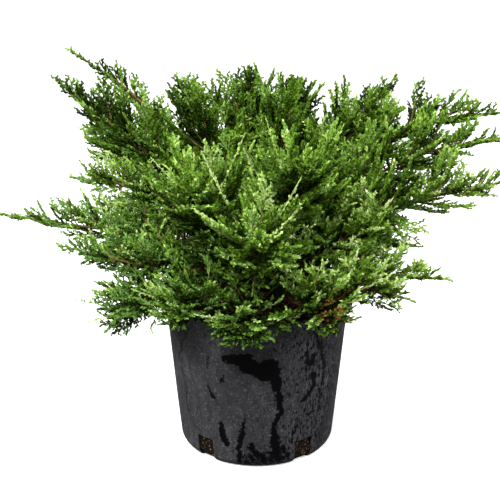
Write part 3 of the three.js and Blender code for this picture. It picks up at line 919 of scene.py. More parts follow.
class Curve:
    """A limb's middle line. A share of 0 is its root, and 1 its far end."""

    def __init__(self, points: list[np.ndarray]) -> None:
        """Pass a uniform Catmull-Rom curve through four points, or a quadratic one along three."""
        self.points = [2 * points[0] - points[1], *points, 2 * points[-1] - points[-2]]
        self.knee = points if len(points) == 3 else None
        self.spans = len(points) - 1

    def point(self, share: np.ndarray | float) -> np.ndarray:
        """The points at one or more shares."""
        share = np.clip(np.asarray(share, float), 0, 1)[..., None]
        if self.knee:
            start, knee, end = self.knee
            return (1 - share) ** 2 * start + 2 * share * (1 - share) * knee + share**2 * end
        index = np.minimum((share * self.spans).astype(int), self.spans - 1)
        t = share * self.spans - index
        rows = np.array(self.points)
        p0, p1, p2, p3 = (rows[index[..., 0] + i] for i in range(4))
        m1, m2 = (p2 - p0) / 2, (p3 - p1) / 2
        return p1 + m1 * t + (3 * (p2 - p1) - 2 * m1 - m2) * t**2 + (2 * (p1 - p2) + m1 + m2) * t**3

    def tangent(self, share: np.ndarray | float) -> np.ndarray:
        """Unit directions at one or more shares."""
        share = np.asarray(share, float)
        return unit(self.point(share + 1e-4) - self.point(share - 1e-4))

    def length(self) -> float:
        """Length of the whole curve."""
        steps = self.point(np.linspace(0, 1, 201))
        return float(np.linalg.norm(np.diff(steps, axis=0), axis=1).sum())


@dataclass
class Limb:
    """A woody limb: its curve, how far along it the wood is bark, and its radii there."""

    curve: Curve
    end: float
    foot_radius: float
    tip_radius: float

    def radius(self, share: np.ndarray | float) -> np.ndarray:
        """Radius at a share of the curve."""
        part = np.clip(np.asarray(share, float) / self.end, 0, 1)
        return self.foot_radius + (self.tip_radius - self.foot_radius) * part


@dataclass
class Framework:
    """The stem and the boughs that fork from it and from each other."""

    mix_top: float = 206.0
    gap: float = 0.3  # between the mix and the stem's flat foot
    stem_height: float = 96.0
    stem_foot_radius: float = 24.0
    stem_neck_radius: float = 11.5
    stem_tip_radius: float = 8.0
    flare_height: float = 9.0
    lobes: int = 5
    lobe_depth: float = 0.16
    lobe_height: float = 18.0
    lean: Pair = (7.0, -9.0)
    bough_foot_radius: float = 5.6
    side_foot_radius: float = 4.6
    bough_tip_radius: float = 3.2
    foot_share: float = 1 / 3  # where a leader's curve passes its bough's foot
    stem_rings: int = 28
    bough_rings: int = 18
    heel: float = 0.02  # share of its curve where a bough starts, inside its parent
    past_foot: float = 1.06  # how far a bough runs on into its mass, as a share
    fineness: float = 1.5  # of the grid that joins the limbs into one piece
    stem_ridges: float = 1.1  # how high the bark's strips stand on the stem
    bough_ridges: float = 0.45  # and on the boughs
    grain_step: float = 400.0  # how far the bark's grain is moved on from limb to limb
    limbs: dict[str, Limb] = field(default_factory=dict)

    def __post_init__(self) -> None:
        """Work out every limb's curve from the stem outwards."""
        foot = np.array([-self.lean[0] / 2, -self.lean[1] / 2, self.mix_top + self.gap])
        knee = foot + UP * self.stem_height / 2
        tip = foot + np.array([*self.lean, self.stem_height])
        self.limbs["stem"] = Limb(Curve([foot, knee, tip]), 1.0, self.stem_neck_radius, self.stem_tip_radius)
        waiting = list(BOUGHS)
        while waiting:
            row = waiting.pop(0)
            if row.parent not in self.limbs:
                waiting.append(row)
                continue
            parent = self.limbs[row.parent]
            start = parent.curve.point(row.fork_at * parent.end)
            heel, end = place(row.foot), place(row.tip)
            middle = (heel + end) / 2 + UP * row.arch
            radius = self.bough_foot_radius if row.parent == "stem" else self.side_foot_radius
            curve = Curve([start, heel, middle, end])
            self.limbs[row.name] = Limb(curve, self.foot_share, radius, self.bough_tip_radius)

    def build(self) -> bpy.types.Object:
        """Shape the stem and boughs as one barked piece and return it."""
        tubes = [self._tube(name, limb) for name, limb in self.limbs.items()]
        Bench.clear()
        for tube in tubes:
            tube.select_set(True)
        bpy.context.view_layer.objects.active = tubes[0]
        bpy.ops.object.join()
        wood = Bench.name_new("bark_of_stem_and_boughs")
        Bench.finish_modifier(wood, "REMESH", mode="VOXEL", voxel_size=self.fineness * MM)
        self._bark(wood)
        Bench.smooth(wood, 70)
        return wood

    def _tube(self, name: str, limb: Limb) -> bpy.types.Object:
        """Bend a round bevelled curve along one limb and turn it into a mesh."""
        Bench.clear()
        bpy.ops.curve.primitive_nurbs_path_add(location=(0, 0, 0))
        path = bpy.context.object
        path.name = name
        steps = self.stem_rings if name == "stem" else self.bough_rings
        start, run = (0.0, 1.0) if name == "stem" else (self.heel, self.past_foot)
        shares = np.linspace(start, limb.end * run, steps)
        path.data.splines.clear()
        line = path.data.splines.new("POLY")
        line.points.add(steps - 1)
        for spot, share, middle in zip(line.points, shares, limb.curve.point(shares)):
            spot.co = (*(middle * MM), 1.0)
            spot.radius = float(self._radius(name, limb, share))
        path.data.dimensions = "3D"
        path.data.bevel_depth = MM
        path.data.bevel_resolution = 5
        path.data.use_fill_caps = True
        Bench.take(path)
        bpy.ops.object.convert(target="MESH")
        return bpy.context.object

    def _radius(self, name: str, limb: Limb, share: float) -> float:
        """A limb's radius with the stem's flare at its foot."""
        if name != "stem":
            return float(limb.radius(share))
        fading = math.exp(-share * self.stem_height / self.flare_height)
        return float(limb.radius(share)) + (self.stem_foot_radius - self.stem_neck_radius) * fading

    def _bark(self, wood: bpy.types.Object) -> None:
        """Raise strips of bark along every limb, and note where each corner lies on its limb."""
        count = len(wood.data.vertices)
        spots = np.zeros(count * 3, np.float32)
        wood.data.vertices.foreach_get("co", spots)
        spots = spots.reshape(-1, 3).astype(float) / MM
        best = np.full(count, np.inf)
        around, along, out = np.zeros(count), np.zeros(count), np.zeros((count, 3))
        on_stem = np.zeros(count, bool)
        for order, (name, limb) in enumerate(self.limbs.items()):
            shares = np.linspace(0, limb.end, 40)
            line = limb.curve.point(shares)
            gap = np.linalg.norm(spots[:, None, :] - line[None, :, :], axis=2)
            nearest = gap.argmin(axis=1)
            closer = gap.min(axis=1) - limb.radius(shares[nearest]) < best
            best = np.where(closer, gap.min(axis=1) - limb.radius(shares[nearest]), best)
            tangent = limb.curve.tangent(shares)[nearest]
            off = spots - line[nearest]
            off -= tangent * (off * tangent).sum(axis=1, keepdims=True)
            across = unit(np.cross(UP + 0.01, tangent))
            above = np.cross(tangent, across)
            angle = np.arctan2((off * above).sum(axis=1), (off * across).sum(axis=1))
            reach = limb.curve.length() * shares[nearest] + order * self.grain_step
            around = np.where(closer, angle * limb.radius(shares[nearest]), around)
            along = np.where(closer, reach, along)
            out = np.where(closer[:, None], unit(off), out)
            on_stem = np.where(closer, name == "stem", on_stem)
        places = [Vector((a * 0.42, b * 0.05, 0)) for a, b in zip(around, along)]
        ridge = np.array([noise.fractal(spot, 0.7, 2.1, 4) for spot in places])
        lobe = self.lobe_depth * np.cos(np.arctan2(out[:, 1], out[:, 0]) * self.lobes)
        fading = np.exp(-(spots[:, 2] - self.mix_top) / self.lobe_height)
        lobe = lobe * fading * self.stem_foot_radius * on_stem
        raised = np.where(on_stem, self.stem_ridges, self.bough_ridges) * ridge + np.maximum(lobe, -3)
        spots = spots + out * raised[:, None]
        spots[:, 2] = np.maximum(spots[:, 2], np.where(on_stem, self.mix_top - 3, -np.inf))
        wood.data.vertices.foreach_set("co", (spots * MM).astype(np.float32).ravel())
        grain = wood.data.attributes.new(GRAIN, "FLOAT_VECTOR", "POINT")
        noted = np.stack([around, along, on_stem * 1.0], axis=1).astype(np.float32)
        grain.data.foreach_set("vector", noted.ravel())
        wood.data.update()

    def dress(self, wood: bpy.types.Object) -> None:
        """Give the wood its bark, put it on the body and hide the nodes that it stands for."""
        hand_in(wood, OLD_BARK.material(), "bark", "stem", *(f"bough_{row.name}" for row in BOUGHS))


@dataclass
class CrownSpace:
    """The space that each mass keeps to: nearest its own leading shoot, and clear of the pot."""

    framework: Framework
    pot: NurseryPot
    past_tip: float = 6.0  # how far a mass may reach past its shoot's end
    belly: float = 0.42  # how far it hangs below its shoot, as a share of its half width
    hanging_belly: float = 4.0  # the same where the shoot itself hangs, in millimetres
    pot_gap: float = 1.5
    steps: int = 9  # points that stand for a leading shoot

    def __post_init__(self) -> None:
        """Measure every mass's shoot."""
        foot = self.framework.foot_share
        shares = foot + (1 - foot) * np.linspace(0, 1, self.steps)
        self.chains = np.stack([self.framework.limbs[row.name].curve.point(shares) for row in BOUGHS])
        self.widths = np.array([row.width for row in BOUGHS])
        self.tips = self.chains[:, -1]
        self.onward = unit(self.chains[:, -1] - self.chains[:, -2])
        self.skirts = np.array([self._skirt(row) for row in BOUGHS])

    def _skirt(self, row: Bough) -> float:
        """The height that a mass doesn't hang below."""
        hanging = row.tip[2] < row.foot[2]
        return min(row.tip[2], row.foot[2]) - (self.hanging_belly if hanging else self.belly * row.width)

    @staticmethod
    def _gaps(points: np.ndarray, chain: np.ndarray) -> np.ndarray:
        """Distance from each point to a chain of points."""
        start, span = chain[:-1], np.diff(chain, axis=0)
        off = points[:, None, :] - start[None]
        share = np.clip((off * span).sum(-1) / (span * span).sum(-1), 0, 1)
        return np.linalg.norm(off - share[..., None] * span, axis=-1).min(axis=1)

    def depths(self, points: np.ndarray) -> np.ndarray:
        """Each point's distance from every mass's shoot, as a share of that mass's half width."""
        return np.stack([self._gaps(points, chain) for chain in self.chains], axis=1) / self.widths

    def holds(self, points: np.ndarray, mass: np.ndarray, overlap: float) -> np.ndarray:
        """Which points lie in their own mass's space.

        Args:
            points: The points, in millimetres.
            mass: The number of each point's mass.
            overlap: How far they may reach into a neighbour's space, as a share of its half width.

        Returns:
            True for each point that does.
        """
        depth = self.depths(points)
        own = depth[np.arange(len(points)), mass]
        beyond = ((points - self.tips[mass]) * self.onward[mass]).sum(axis=1)
        within = (beyond < self.past_tip) & (points[:, 2] > self.skirts[mass])
        return within & (depth.min(axis=1) > own - overlap) & self.clear_of_pot(points)

    def clear_of_pot(self, points: np.ndarray) -> np.ndarray:
        """Which points are clear of the pot and its mix."""
        beside = np.hypot(points[:, 0], points[:, 1]) > self.pot.lip_radius + self.pot_gap
        return beside | (points[:, 2] > self.pot.height + self.pot_gap)


@dataclass
class Shoots:
    """Many shoots of one order, one row each, as gentle arcs.

    Attributes:
        root: Where each starts.
        aim: Its unit direction there.
        bend: How far its tip is off the straight, as a share of its length.
        length: Its length.
        face: The direction that its flat side faces.
        mass: The number of its mass.
        vigour: How fresh it is, from 0 to 1, and above 1 on a whip.
    """

    root: np.ndarray
    aim: np.ndarray
    bend: np.ndarray
    length: np.ndarray
    face: np.ndarray
    mass: np.ndarray
    vigour: np.ndarray

    def __len__(self) -> int:
        """How many shoots there are."""
        return len(self.length)

    def point(self, share: np.ndarray) -> np.ndarray:
        """The point at one share of each shoot."""
        share = share[:, None]
        return self.root + self.length[:, None] * (self.aim * share + self.bend * share**2)

    def tangent(self, share: np.ndarray) -> np.ndarray:
        """Unit direction at one share of each shoot."""
        return unit(self.aim + 2 * self.bend * share[:, None])

    def at(self, share: float) -> np.ndarray:
        """The points at the same share of every shoot."""
        return self.point(np.full(len(self), share))

    def chosen(self, which: np.ndarray) -> Shoots:
        """The shoots that a mask or a list of numbers chooses."""
        return Shoots(*(getattr(self, name)[which] for name in self.__dataclass_fields__))

    def fitted(self, space: CrownSpace, overlap: float, shortest: float, samples: int) -> Shoots:
        """The shoots made shorter until they keep to their space, without those that end too short.

        Args:
            space: The space of each mass.
            overlap: How far they may reach into a neighbour's space.
            shortest: The least length that is kept.
            samples: How many places along each shoot are looked at.

        Returns:
            The shoots that fit.
        """
        free = np.ones(len(self), bool)
        reach = np.zeros(len(self))
        for i in range(1, samples + 1):
            free &= space.holds(self.at(i / samples), self.mass, overlap)
            reach = np.where(free, i / samples, reach)
        kept = self.chosen(reach * self.length >= shortest)
        reach = reach[reach * self.length >= shortest]
        kept.length = kept.length * reach
        kept.bend = kept.bend * reach[:, None]
        return kept


@dataclass(frozen=True)
class SideGrowth:
    """The rule by which side shoots leave the shoots of one order, to one side and the other in turn.

    Attributes:
        spacing: Between side shoots.
        first: Share of the parent where they start.
        last: Share of the parent where they end.
        fork: Degrees off the parent.
        spread: Degrees that the fork varies.
        out_of_plane: Degrees that they turn out of the parent's flat side.
        lift: How strongly they turn up towards the light.
        share: Length of the first of them, as a share of the parent's.
        taper: How much shorter the last is than the first.
        limits: The least and the greatest length.
        bend: How far their tips turn up.
    """

    spacing: float
    first: float
    last: float
    fork: float
    spread: float
    out_of_plane: float
    lift: float
    share: float
    taper: float
    limits: Pair
    bend: float

    def grow(self, parents: Shoots, chance: np.random.Generator) -> Shoots:
        """Grow the side shoots of many parents.

        Args:
            parents: The shoots that they leave.
            chance: Where random numbers come from.

        Returns:
            The side shoots.
        """
        room = (self.last - self.first) * parents.length
        counts = np.maximum(np.round(room / self.spacing), 1).astype(int)
        parent = np.repeat(np.arange(len(parents)), counts)
        order = np.arange(len(parent)) - np.repeat(np.cumsum(counts) - counts, counts)
        total = len(parent)
        strayed = order + chance.uniform(0.2, 0.8, total)
        along = self.first + (self.last - self.first) * strayed / counts[parent]
        base = parents.chosen(parent)
        tangent = base.tangent(along)
        face = squared(base.face, tangent)
        side = np.cross(face, tangent) * np.where(order % 2 == 0, 1.0, -1.0)[:, None]
        fork = np.radians(self.fork + chance.uniform(-1, 1, total) * self.spread)[:, None]
        tilt = np.radians(chance.uniform(-1, 1, total) * self.out_of_plane)[:, None]
        aim = tangent * np.cos(fork) + (side * np.cos(tilt) + face * np.sin(tilt)) * np.sin(fork)
        aim = unit(aim + UP * self.lift)
        length = base.length * self.share * (1 - self.taper * along) * chance.uniform(0.72, 1.12, total)
        length = np.clip(length, *self.limits)
        upward = UP - aim * aim[:, 2:3]
        vigour = np.clip(base.vigour + (along - 0.5) * 0.45, -0.4, 1.4)
        face = squared(face, aim)
        return Shoots(base.point(along), aim, upward * self.bend, length, face, base.mass, vigour)


# ---------------------------------------------------------------- sprigs, the smallest growth


@dataclass(frozen=True)
class Needle:
    """An awl-shaped needle: a blade of two faces, folded along its keel."""

    length: float = 5.2
    half_width: float = 1.5
    fold: float = 0.45  # how far its edges lie below its keel
    widest: float = 0.4  # share of its length where it is widest
    spread: float = 27.0  # degrees that it stands off the sprig
    turn: float = 137.5  # degrees round the sprig from one needle to the next


@dataclass(frozen=True)
class Sprig:
    """A short shoot clad in needles, modelled a few times over and copied many thousand times.

    Attributes:
        length: From its root to the tip of its last needle.
        needles: How many it has, the last one straight on.
        stem_radius: Radius of its green stem at the waist, or 0 where the needles hide it.
        needle: The needle that it is clad in.
    """

    length: float
    needles: int
    stem_radius: float = 0.0
    needle: Needle = Needle()

    def template(self, chance: np.random.Generator) -> tuple[np.ndarray, np.ndarray]:
        """Model one sprig along +Y, with its flat side facing +Z.

        Args:
            chance: Where random numbers come from.

        Returns:
            Its corners in millimetres, and its triangles.
        """
        blades = [self._stem()] if self.stem_radius else []
        start = chance.uniform(0, 360)
        for number in range(self.needles):
            share = number / max(self.needles - 1, 1)
            height = (self.length - self.needle.length) * share
            roll = math.radians(start + self.needle.turn * number + chance.uniform(-18, 18))
            lean = math.radians((self.needle.spread + chance.uniform(-5, 5)) * (1 - 0.8 * share**2))
            blades.append(self._needle(height, roll, lean, (1 - 0.15 * share) * chance.uniform(0.9, 1.1)))
        first = 4 * np.arange(len(blades))[:, None]
        faces = np.concatenate([first + [[0, 1, 3]], first + [[0, 3, 2]]], axis=1)
        return np.concatenate(blades), faces.reshape(-1, 3)

    def _stem(self) -> np.ndarray:
        """The green stem that the needles stand on: a folded blade as long as the sprig."""
        top = self.length - 1.0
        waist, fold = self.stem_radius, self.stem_radius * 0.8
        return np.array([[0, -0.8, 0], [waist, top * 0.4, -fold], [-waist, top * 0.4, -fold], [0, top, 0]])

    def _needle(self, height: float, roll: float, lean: float, scale: float) -> np.ndarray:
        """The four corners of one needle: root, left, right and tip."""
        out = np.array([math.cos(roll), 0, math.sin(roll)])
        along = np.array([0, math.cos(lean), 0]) + out * math.sin(lean)
        outer = out * math.cos(lean) - np.array([0, math.sin(lean), 0])
        side = np.cross(along, outer)
        root = np.array([0, height, 0]) + out * 0.25
        length = self.needle.length * scale
        middle = root + along * length * self.needle.widest - outer * self.needle.fold
        edge = side * self.needle.half_width
        return np.array([root, middle + edge, middle - edge, root + along * length])


TUFTS = (Sprig(7.0, 3), Sprig(8.6, 4), Sprig(11.0, 5))
SPINES = (Sprig(9.0, 4, 0.9), Sprig(13.0, 6, 1.0))
WHIP_SPINES = (Sprig(12.5, 6, 1.3, Needle(3.8, 0.8, 0.4, 0.4, 20)),)


# ---------------------------------------------------------------- how the greens are dealt out


@dataclass(frozen=True)
class Spot:
    """A place in the crown that fades out from its middle.

    Attributes:
        middle: Its middle.
        reach: How far it reaches along x, y and z.
        strength: How strong it is in its middle.
    """

    middle: Triple
    reach: Triple
    strength: float

    def at(self, points: np.ndarray) -> np.ndarray:
        """How strong it is at each point."""
        return self.strength * np.exp(-(((points - self.middle) / self.reach) ** 2).sum(axis=1))


@dataclass(frozen=True)
class Dealing:
    """The rule that deals a green out to each sprig.

    A sprig is lighter the fresher it is, in drifts, and lighter the further out in its mass, partly as older
    needles inside are darker and partly as painted shade of the crown's inside. Painted shade also makes it
    darker low down, at the top and in hollow places of the crown. Cool greens lie low in the west.
    """

    lightness: float = 0.09
    # Lighter further out in the mass: partly the older, darker needles inside, partly painted shade of the
    # crown's inside.
    outward: float = 0.38
    fresh: float = 0.5
    drift: float = 0.3
    drift_scale: float = 0.035  # drifts for each millimetre
    scatter: float = 0.08
    # Painted shade: how much darker the greens are low down, under the crown, and at the top.
    low_shade: float = 0.32
    low_from: float = 300.0
    low_range: float = 60.0
    top_shade: float = 0.26
    top_from: float = 420.0
    top_range: float = 100.0
    # Painted shade: hollow places in the crown that little light reaches, where sprigs are dealt darker
    # greens.
    hollows: tuple[Spot, ...] = (
        Spot((-100, -165, 352), (46, 90, 38), 0.55),
        Spot((-52, -150, 318), (40, 70, 24), 0.3),
        Spot((18, -128, 292), (46, 60, 22), 0.6),
        Spot((110, -190, 300), (40, 90, 30), 0.45),
    )
    old_places: tuple[Spot, ...] = (  # where old sprays have turned russet
        Spot((110, -172, 284), (32, 70, 16), 0.6),
        Spot((50, -150, 322), (22, 40, 10), 0.3),
        Spot((-150, -150, 400), (30, 60, 14), 0.25),
    )
    old_depth: float = 1.2  # how far out, as a share of the half width, no spray is old
    cool: float = 0.75
    cool_from: float = 400.0
    cool_eastward: float = 0.6  # how much lower cool greens end for each millimetre further east
    cool_range: float = 260.0
    cool_scatter: float = 0.2
    cool_drift: float = 0.85
    cool_limit: float = 0.42
    steps: tuple[float, ...] = (0.17, 0.34, 0.56, 0.76)  # the lightness where each next green starts
    cool_greens: tuple[Green, ...] = (Green.SHADED, Green.DUSKY, Green.COOL, Green.COOL, Green.BRIGHT)
    warm_greens: tuple[Green, ...] = (Green.SHADED, Green.DEEP, Green.MIDDLE, Green.BRIGHT, Green.FRESH)

    def greens(
        self, tips: np.ndarray, depth: np.ndarray, vigour: np.ndarray, chance: np.random.Generator
    ) -> np.ndarray:
        """Deal out the greens.

        Args:
            tips: Each sprig's tip.
            depth: How far out in its mass it is, as a share of the mass's half width.
            vigour: How fresh it is.
            chance: Where random numbers come from.

        Returns:
            For each sprig the number of its green.
        """
        count = len(tips)
        east, high = tips[:, 0], tips[:, 2]
        drift = np.array([noise.noise(Vector(spot) * self.drift_scale) for spot in tips])
        # Lighter further out: partly painted shade of the crown's inside, partly the older needles inside
        # being darker.
        light = self.lightness + self.outward * depth + self.fresh * vigour + self.drift * drift
        light = light + chance.normal(0, self.scatter, count)
        low = np.clip((self.low_from - high) / self.low_range, 0, 1)
        top = np.clip((high - self.top_from) / self.top_range, 0, 1)
        # Painted shade: darker greens low down, at the top and in hollow places of the crown.
        light -= self.low_shade * low + self.top_shade * top
        light -= sum(hollow.at(tips) for hollow in self.hollows)
        oldness = sum(place.at(tips) for place in self.old_places) * (self.old_depth - depth)
        old = oldness > chance.random(count)
        low_west = np.clip((self.cool_from - high - self.cool_eastward * east) / self.cool_range, 0, 1)
        cool = self.cool * low_west + chance.normal(0, self.cool_scatter, count) + self.cool_drift * drift
        order = list(Green)
        step = np.digitize(light, self.steps)
        cool_numbers = np.array([order.index(green) for green in self.cool_greens])[step]
        warm_numbers = np.array([order.index(green) for green in self.warm_greens])[step]
        fresh = np.where(cool > self.cool_limit, cool_numbers, warm_numbers)
        return np.where(old, order.index(Green.RUSSET), fresh)


# ---------------------------------------------------------------- the foliage


@dataclass(frozen=True)
class WhipGrowth:
    """The rule for the whips, slender pale shoots that reach out over a mass's foliage.

    Attributes:
        count: How many each mass has.
        bearings: Only the masses between these bearings have them.
        places: Shares of the leading shoot between which they start.
        fork: Degrees off the leading shoot, least and most.
        sides: Degrees round the shoot, for one side and the other.
        stray: Degrees that they stray from those.
        lift: How strongly they turn up towards the light.
        length: Length as a share of the mass's half width.
        shrinking: How much shorter they are towards the shoot's tip.
        vigour: How fresh they are.
    """

    count: int = 3
    bearings: Pair = (190.0, 345.0)
    places: Pair = (0.25, 0.8)
    fork: Pair = (34.0, 54.0)
    sides: Pair = (34.0, 146.0)
    stray: float = 20.0
    lift: float = 0.05
    length: float = 1.85
    shrinking: float = 0.6
    vigour: float = 1.25


@dataclass
class Foliage:
    """The crown: leading shoots, twigs, sprays and needle-clad sprigs, grown mass by mass."""

    framework: Framework
    space: CrownSpace
    node_spacing: float = 24.0
    fewest_nodes: int = 8
    roll: float = 137.5
    roll_spread: float = 25.0
    fork: float = 50.0
    fork_spread: float = 12.0
    fork_closing: float = 0.4  # how much narrower the forks are at the shoot's tip
    lift: float = 0.3
    core_reach: float = 0.72
    core_width: float = 0.22
    finer: int = 4  # extra twigs after each of the model's own
    finer_last: float = 0.985  # share of the shoot past which none stands
    finer_size: Pair = (0.55, 1.02)
    inner_spacing: float = 5.0  # along a bough, between its shaded twigs
    inner_start: float = 0.2  # share of the bough where they start
    inner_reach: float = 1.35  # how long a stretch they take up, as a share of the bough
    inner_fork: Pair = (46.0, 80.0)
    inner_length: Pair = (45.0, 92.0)
    stray: float = 30.0  # degrees round the shoot that finer and shaded twigs stray
    twig_bend: float = 0.13  # how far a twig's tip turns up, as a share of its length
    overlap: float = 0.3
    inner_overlap: float = 2.0  # shaded twigs and whips pass through the neighbours' space
    face_stray: float = 0.3  # how far a twig's flat side strays from level
    vigour: Triple = (0.2, 0.4, 0.28)  # of a twig at the mass's foot, gained by its tip, and its scatter
    least: Triple = (14.0, 16.0, 30.0)  # length of a twig, a shaded twig and a whip
    least_spray: float = 8.0
    least_inner_spray: float = 10.0
    cladding: Pair = (0.0, 10.5)  # share of a shoot where needles start, and a sprig's step
    twig_cladding: Pair = (0.3, 11.0)
    inner_cladding: Pair = (0.1, 15.0)
    leading_start: float = 0.62  # share of a leading shoot where its own outer part starts
    leading_steps: int = 7
    shoot_radius: float = 3.2
    shoot_tip_radius: float = 0.8
    slimming: float = 0.55  # how much a mass narrows towards its tip, beyond its fullness
    sprays: SideGrowth = SideGrowth(5.3, 0.10, 0.98, 32, 5, 18, 0.06, 0.48, 0.62, (11.0, 42.0), 0.05)
    tip_sprays: SideGrowth = SideGrowth(5.0, 0.05, 0.95, 25, 5, 80, 0.05, 0.46, 0.3, (7.0, 15.0), 0.0)
    tufts: SideGrowth = SideGrowth(2.9, 0.08, 0.92, 27, 5, 22, 0.04, 0.34, 0.35, (7.0, 12.0), 0.0)
    inner_sprays: SideGrowth = SideGrowth(8.5, 0.15, 0.98, 40, 9, 55, 0.14, 0.5, 0.5, (16.0, 46.0), 0.08)
    inner_tufts: SideGrowth = SideGrowth(4.8, 0.1, 0.95, 38, 8, 60, 0.1, 0.5, 0.3, (11.0, 16.0), 0.0)
    whip_tufts: SideGrowth = SideGrowth(6.5, 0.1, 0.85, 20, 6, 80, 0.05, 0.1, 0.5, (5.5, 9.0), 0.0)
    whip: WhipGrowth = WhipGrowth()
    dealing: Dealing = Dealing()
    variants: int = 6

    def fullness(self, share: float) -> float:
        """Half width of a mass along its shoot, as a share: it opens quickly, and closes slowly."""
        opening = max(math.sin(math.pi * (0.16 + 0.8 * share) ** 0.85), 0.0) ** 0.9
        return opening * (1 - self.slimming * share**2)

    def core(self, row: Bough, share: float) -> float:
        """The radius of a mass's core, from whose face the model's side growth is measured."""
        return row.width * self.core_width * math.sin(math.pi * min(share / self.core_reach, 1))

    def along_shoot(self, share: float) -> float:
        """How far along its leader's curve a share of a mass's leading shoot comes."""
        return self.framework.foot_share + (1 - self.framework.foot_share) * share

    def twigs_of(self, index: int, row: Bough) -> list[tuple]:
        """The twigs of one mass, by the model's own rule and draws, with finer ones between.

        Args:
            index: The mass's number.
            row: The mass's bough.

        Returns:
            For each twig its root, direction, length, flat side, mass and vigour.
        """
        draw = Draw(1009 + 613 * index)
        fine = np.random.default_rng(500 + index)
        curve = self.framework.limbs[row.name].curve
        shoot_length = curve.length() * (1 - self.framework.foot_share)
        count = max(self.fewest_nodes, round(shoot_length / self.node_spacing))
        twigs = []
        for k in range(count):
            share = (k + 0.5) / count
            roll = k * self.roll + draw.between(-1, 1) * self.roll_spread
            fork = self.fork + draw.between(-1, 1) * self.fork_spread
            size = draw.between(0.8, 1.1)
            draw.next()
            draw.next()
            twigs.append(self._twig(row, index, share, roll, fork, size, fine))
            for j in range(1, self.finer + 1):
                part = j / (self.finer + 1)
                later = share + part / count
                if later > self.finer_last:
                    continue
                turn = roll + 360 * part + fine.uniform(-self.stray, self.stray)
                angle = self.fork + fine.uniform(-1, 1) * self.fork_spread
                size = fine.uniform(*self.finer_size)
                twigs.append(self._twig(row, index, later, turn, angle, size, fine))
        return twigs

    def _twig(
        self, row: Bough, index: int, share: float, roll: float, fork: float, size: float,
        fine: np.random.Generator,
    ) -> tuple:
        """One twig from the leading shoot."""
        curve = self.framework.limbs[row.name].curve
        onward = curve.tangent(self.along_shoot(share))
        aim = forked(onward, fork * (1 - self.fork_closing * share), roll, self.lift)
        length = row.width * self.fullness(share) * size + self.core(row, share) * 0.9
        face = unit(np.cross(aim, np.cross(UP, aim)) + fine.normal(0, self.face_stray, 3))
        first, gained, scatter = self.vigour
        vigour = first + gained * share + fine.uniform(-scatter, scatter)
        return curve.point(self.along_shoot(share)), aim, length, face, index, vigour

    def inner_twigs_of(self, index: int, row: Bough) -> list[tuple]:
        """The shaded twigs that stand on a bough and on the first of its leading shoot."""
        fine = np.random.default_rng(900 + index)
        curve = self.framework.limbs[row.name].curve
        foot_share = self.framework.foot_share
        length = curve.length() * foot_share
        twigs = []
        for k in range(max(round(self.inner_reach * length / self.inner_spacing), 2)):
            strayed = (k + fine.uniform(0.2, 0.8)) * self.inner_spacing / length
            share = foot_share * (self.inner_start + strayed)
            fork = fine.uniform(*self.inner_fork)
            roll = k * self.roll + fine.uniform(-self.stray, self.stray)
            aim = forked(curve.tangent(share), fork, roll, self.lift)
            face = unit(np.cross(aim, np.cross(UP, aim)) + fine.normal(0, 0.35, 3))
            reach = fine.uniform(*self.inner_length)
            twigs.append((curve.point(share), aim, reach, face, index, fine.uniform(0, 0.2)))
        return twigs

    def whips_of(self, index: int, row: Bough) -> list[tuple]:
        """The slender pale shoots that reach out over a mass's foliage."""
        fine = np.random.default_rng(1300 + index)
        curve = self.framework.limbs[row.name].curve
        rule = self.whip
        first, last = rule.bearings
        whips = []
        for _ in range(rule.count if first < row.tip[0] < last else 0):
            share = fine.uniform(*rule.places)
            onward = curve.tangent(self.along_shoot(share))
            aside = fine.choice(rule.sides) + fine.uniform(-rule.stray, rule.stray)
            aim = forked(onward, fine.uniform(*rule.fork), aside, rule.lift)
            length = row.width * rule.length * (1.05 - rule.shrinking * share) * fine.uniform(0.8, 1.1)
            face = unit(np.cross(aim, np.cross(UP, aim)))
            whips.append((curve.point(self.along_shoot(share)), aim, length, face, index, rule.vigour))
        return whips

    def grow_twigs(self) -> tuple[Shoots, Shoots, Shoots]:
        """Every mass's twigs, its bough's shaded ones and its whips, cut where they leave its space."""
        groups = []
        rules = (self.twigs_of, self.inner_twigs_of, self.whips_of)
        overlaps = (self.overlap, self.inner_overlap, self.inner_overlap)
        for rule, overlap, shortest in zip(rules, overlaps, self.least):
            rows = [shoot for index, row in enumerate(BOUGHS) for shoot in rule(index, row)]
            groups.append(self._laid_out(rows, self.twig_bend).fitted(self.space, overlap, shortest, 10))
        return tuple(groups)

    @staticmethod
    def _laid_out(rows: list[tuple], bend: float) -> Shoots:
        """Shoots given one by one, which turn up towards the light by a share of their length."""
        root, aim, length, face, mass, vigour = (np.array(part) for part in zip(*rows))
        upward = UP - aim * aim[:, 2:3]
        return Shoots(root, aim, upward * bend, length, squared(face, aim), mass, vigour)

    def leaders(self) -> Shoots:
        """The outer part of every leading shoot, as short straight runs that carry sprays and needles."""
        rows = []
        for index, row in enumerate(BOUGHS):
            curve = self.framework.limbs[row.name].curve
            spots = curve.point(np.linspace(self.along_shoot(self.leading_start), 1, self.leading_steps))
            for i, (spot, end) in enumerate(zip(spots, spots[1:])):
                span = end - spot
                face = forked(unit(span), 90, 60, 0)
                rows.append((spot, unit(span), np.linalg.norm(span), face, index, 0.75 + 0.04 * i))
        root, aim, length, face, mass, vigour = (np.array(part) for part in zip(*rows))
        return Shoots(root, aim, aim * 0, length, face, mass, vigour)

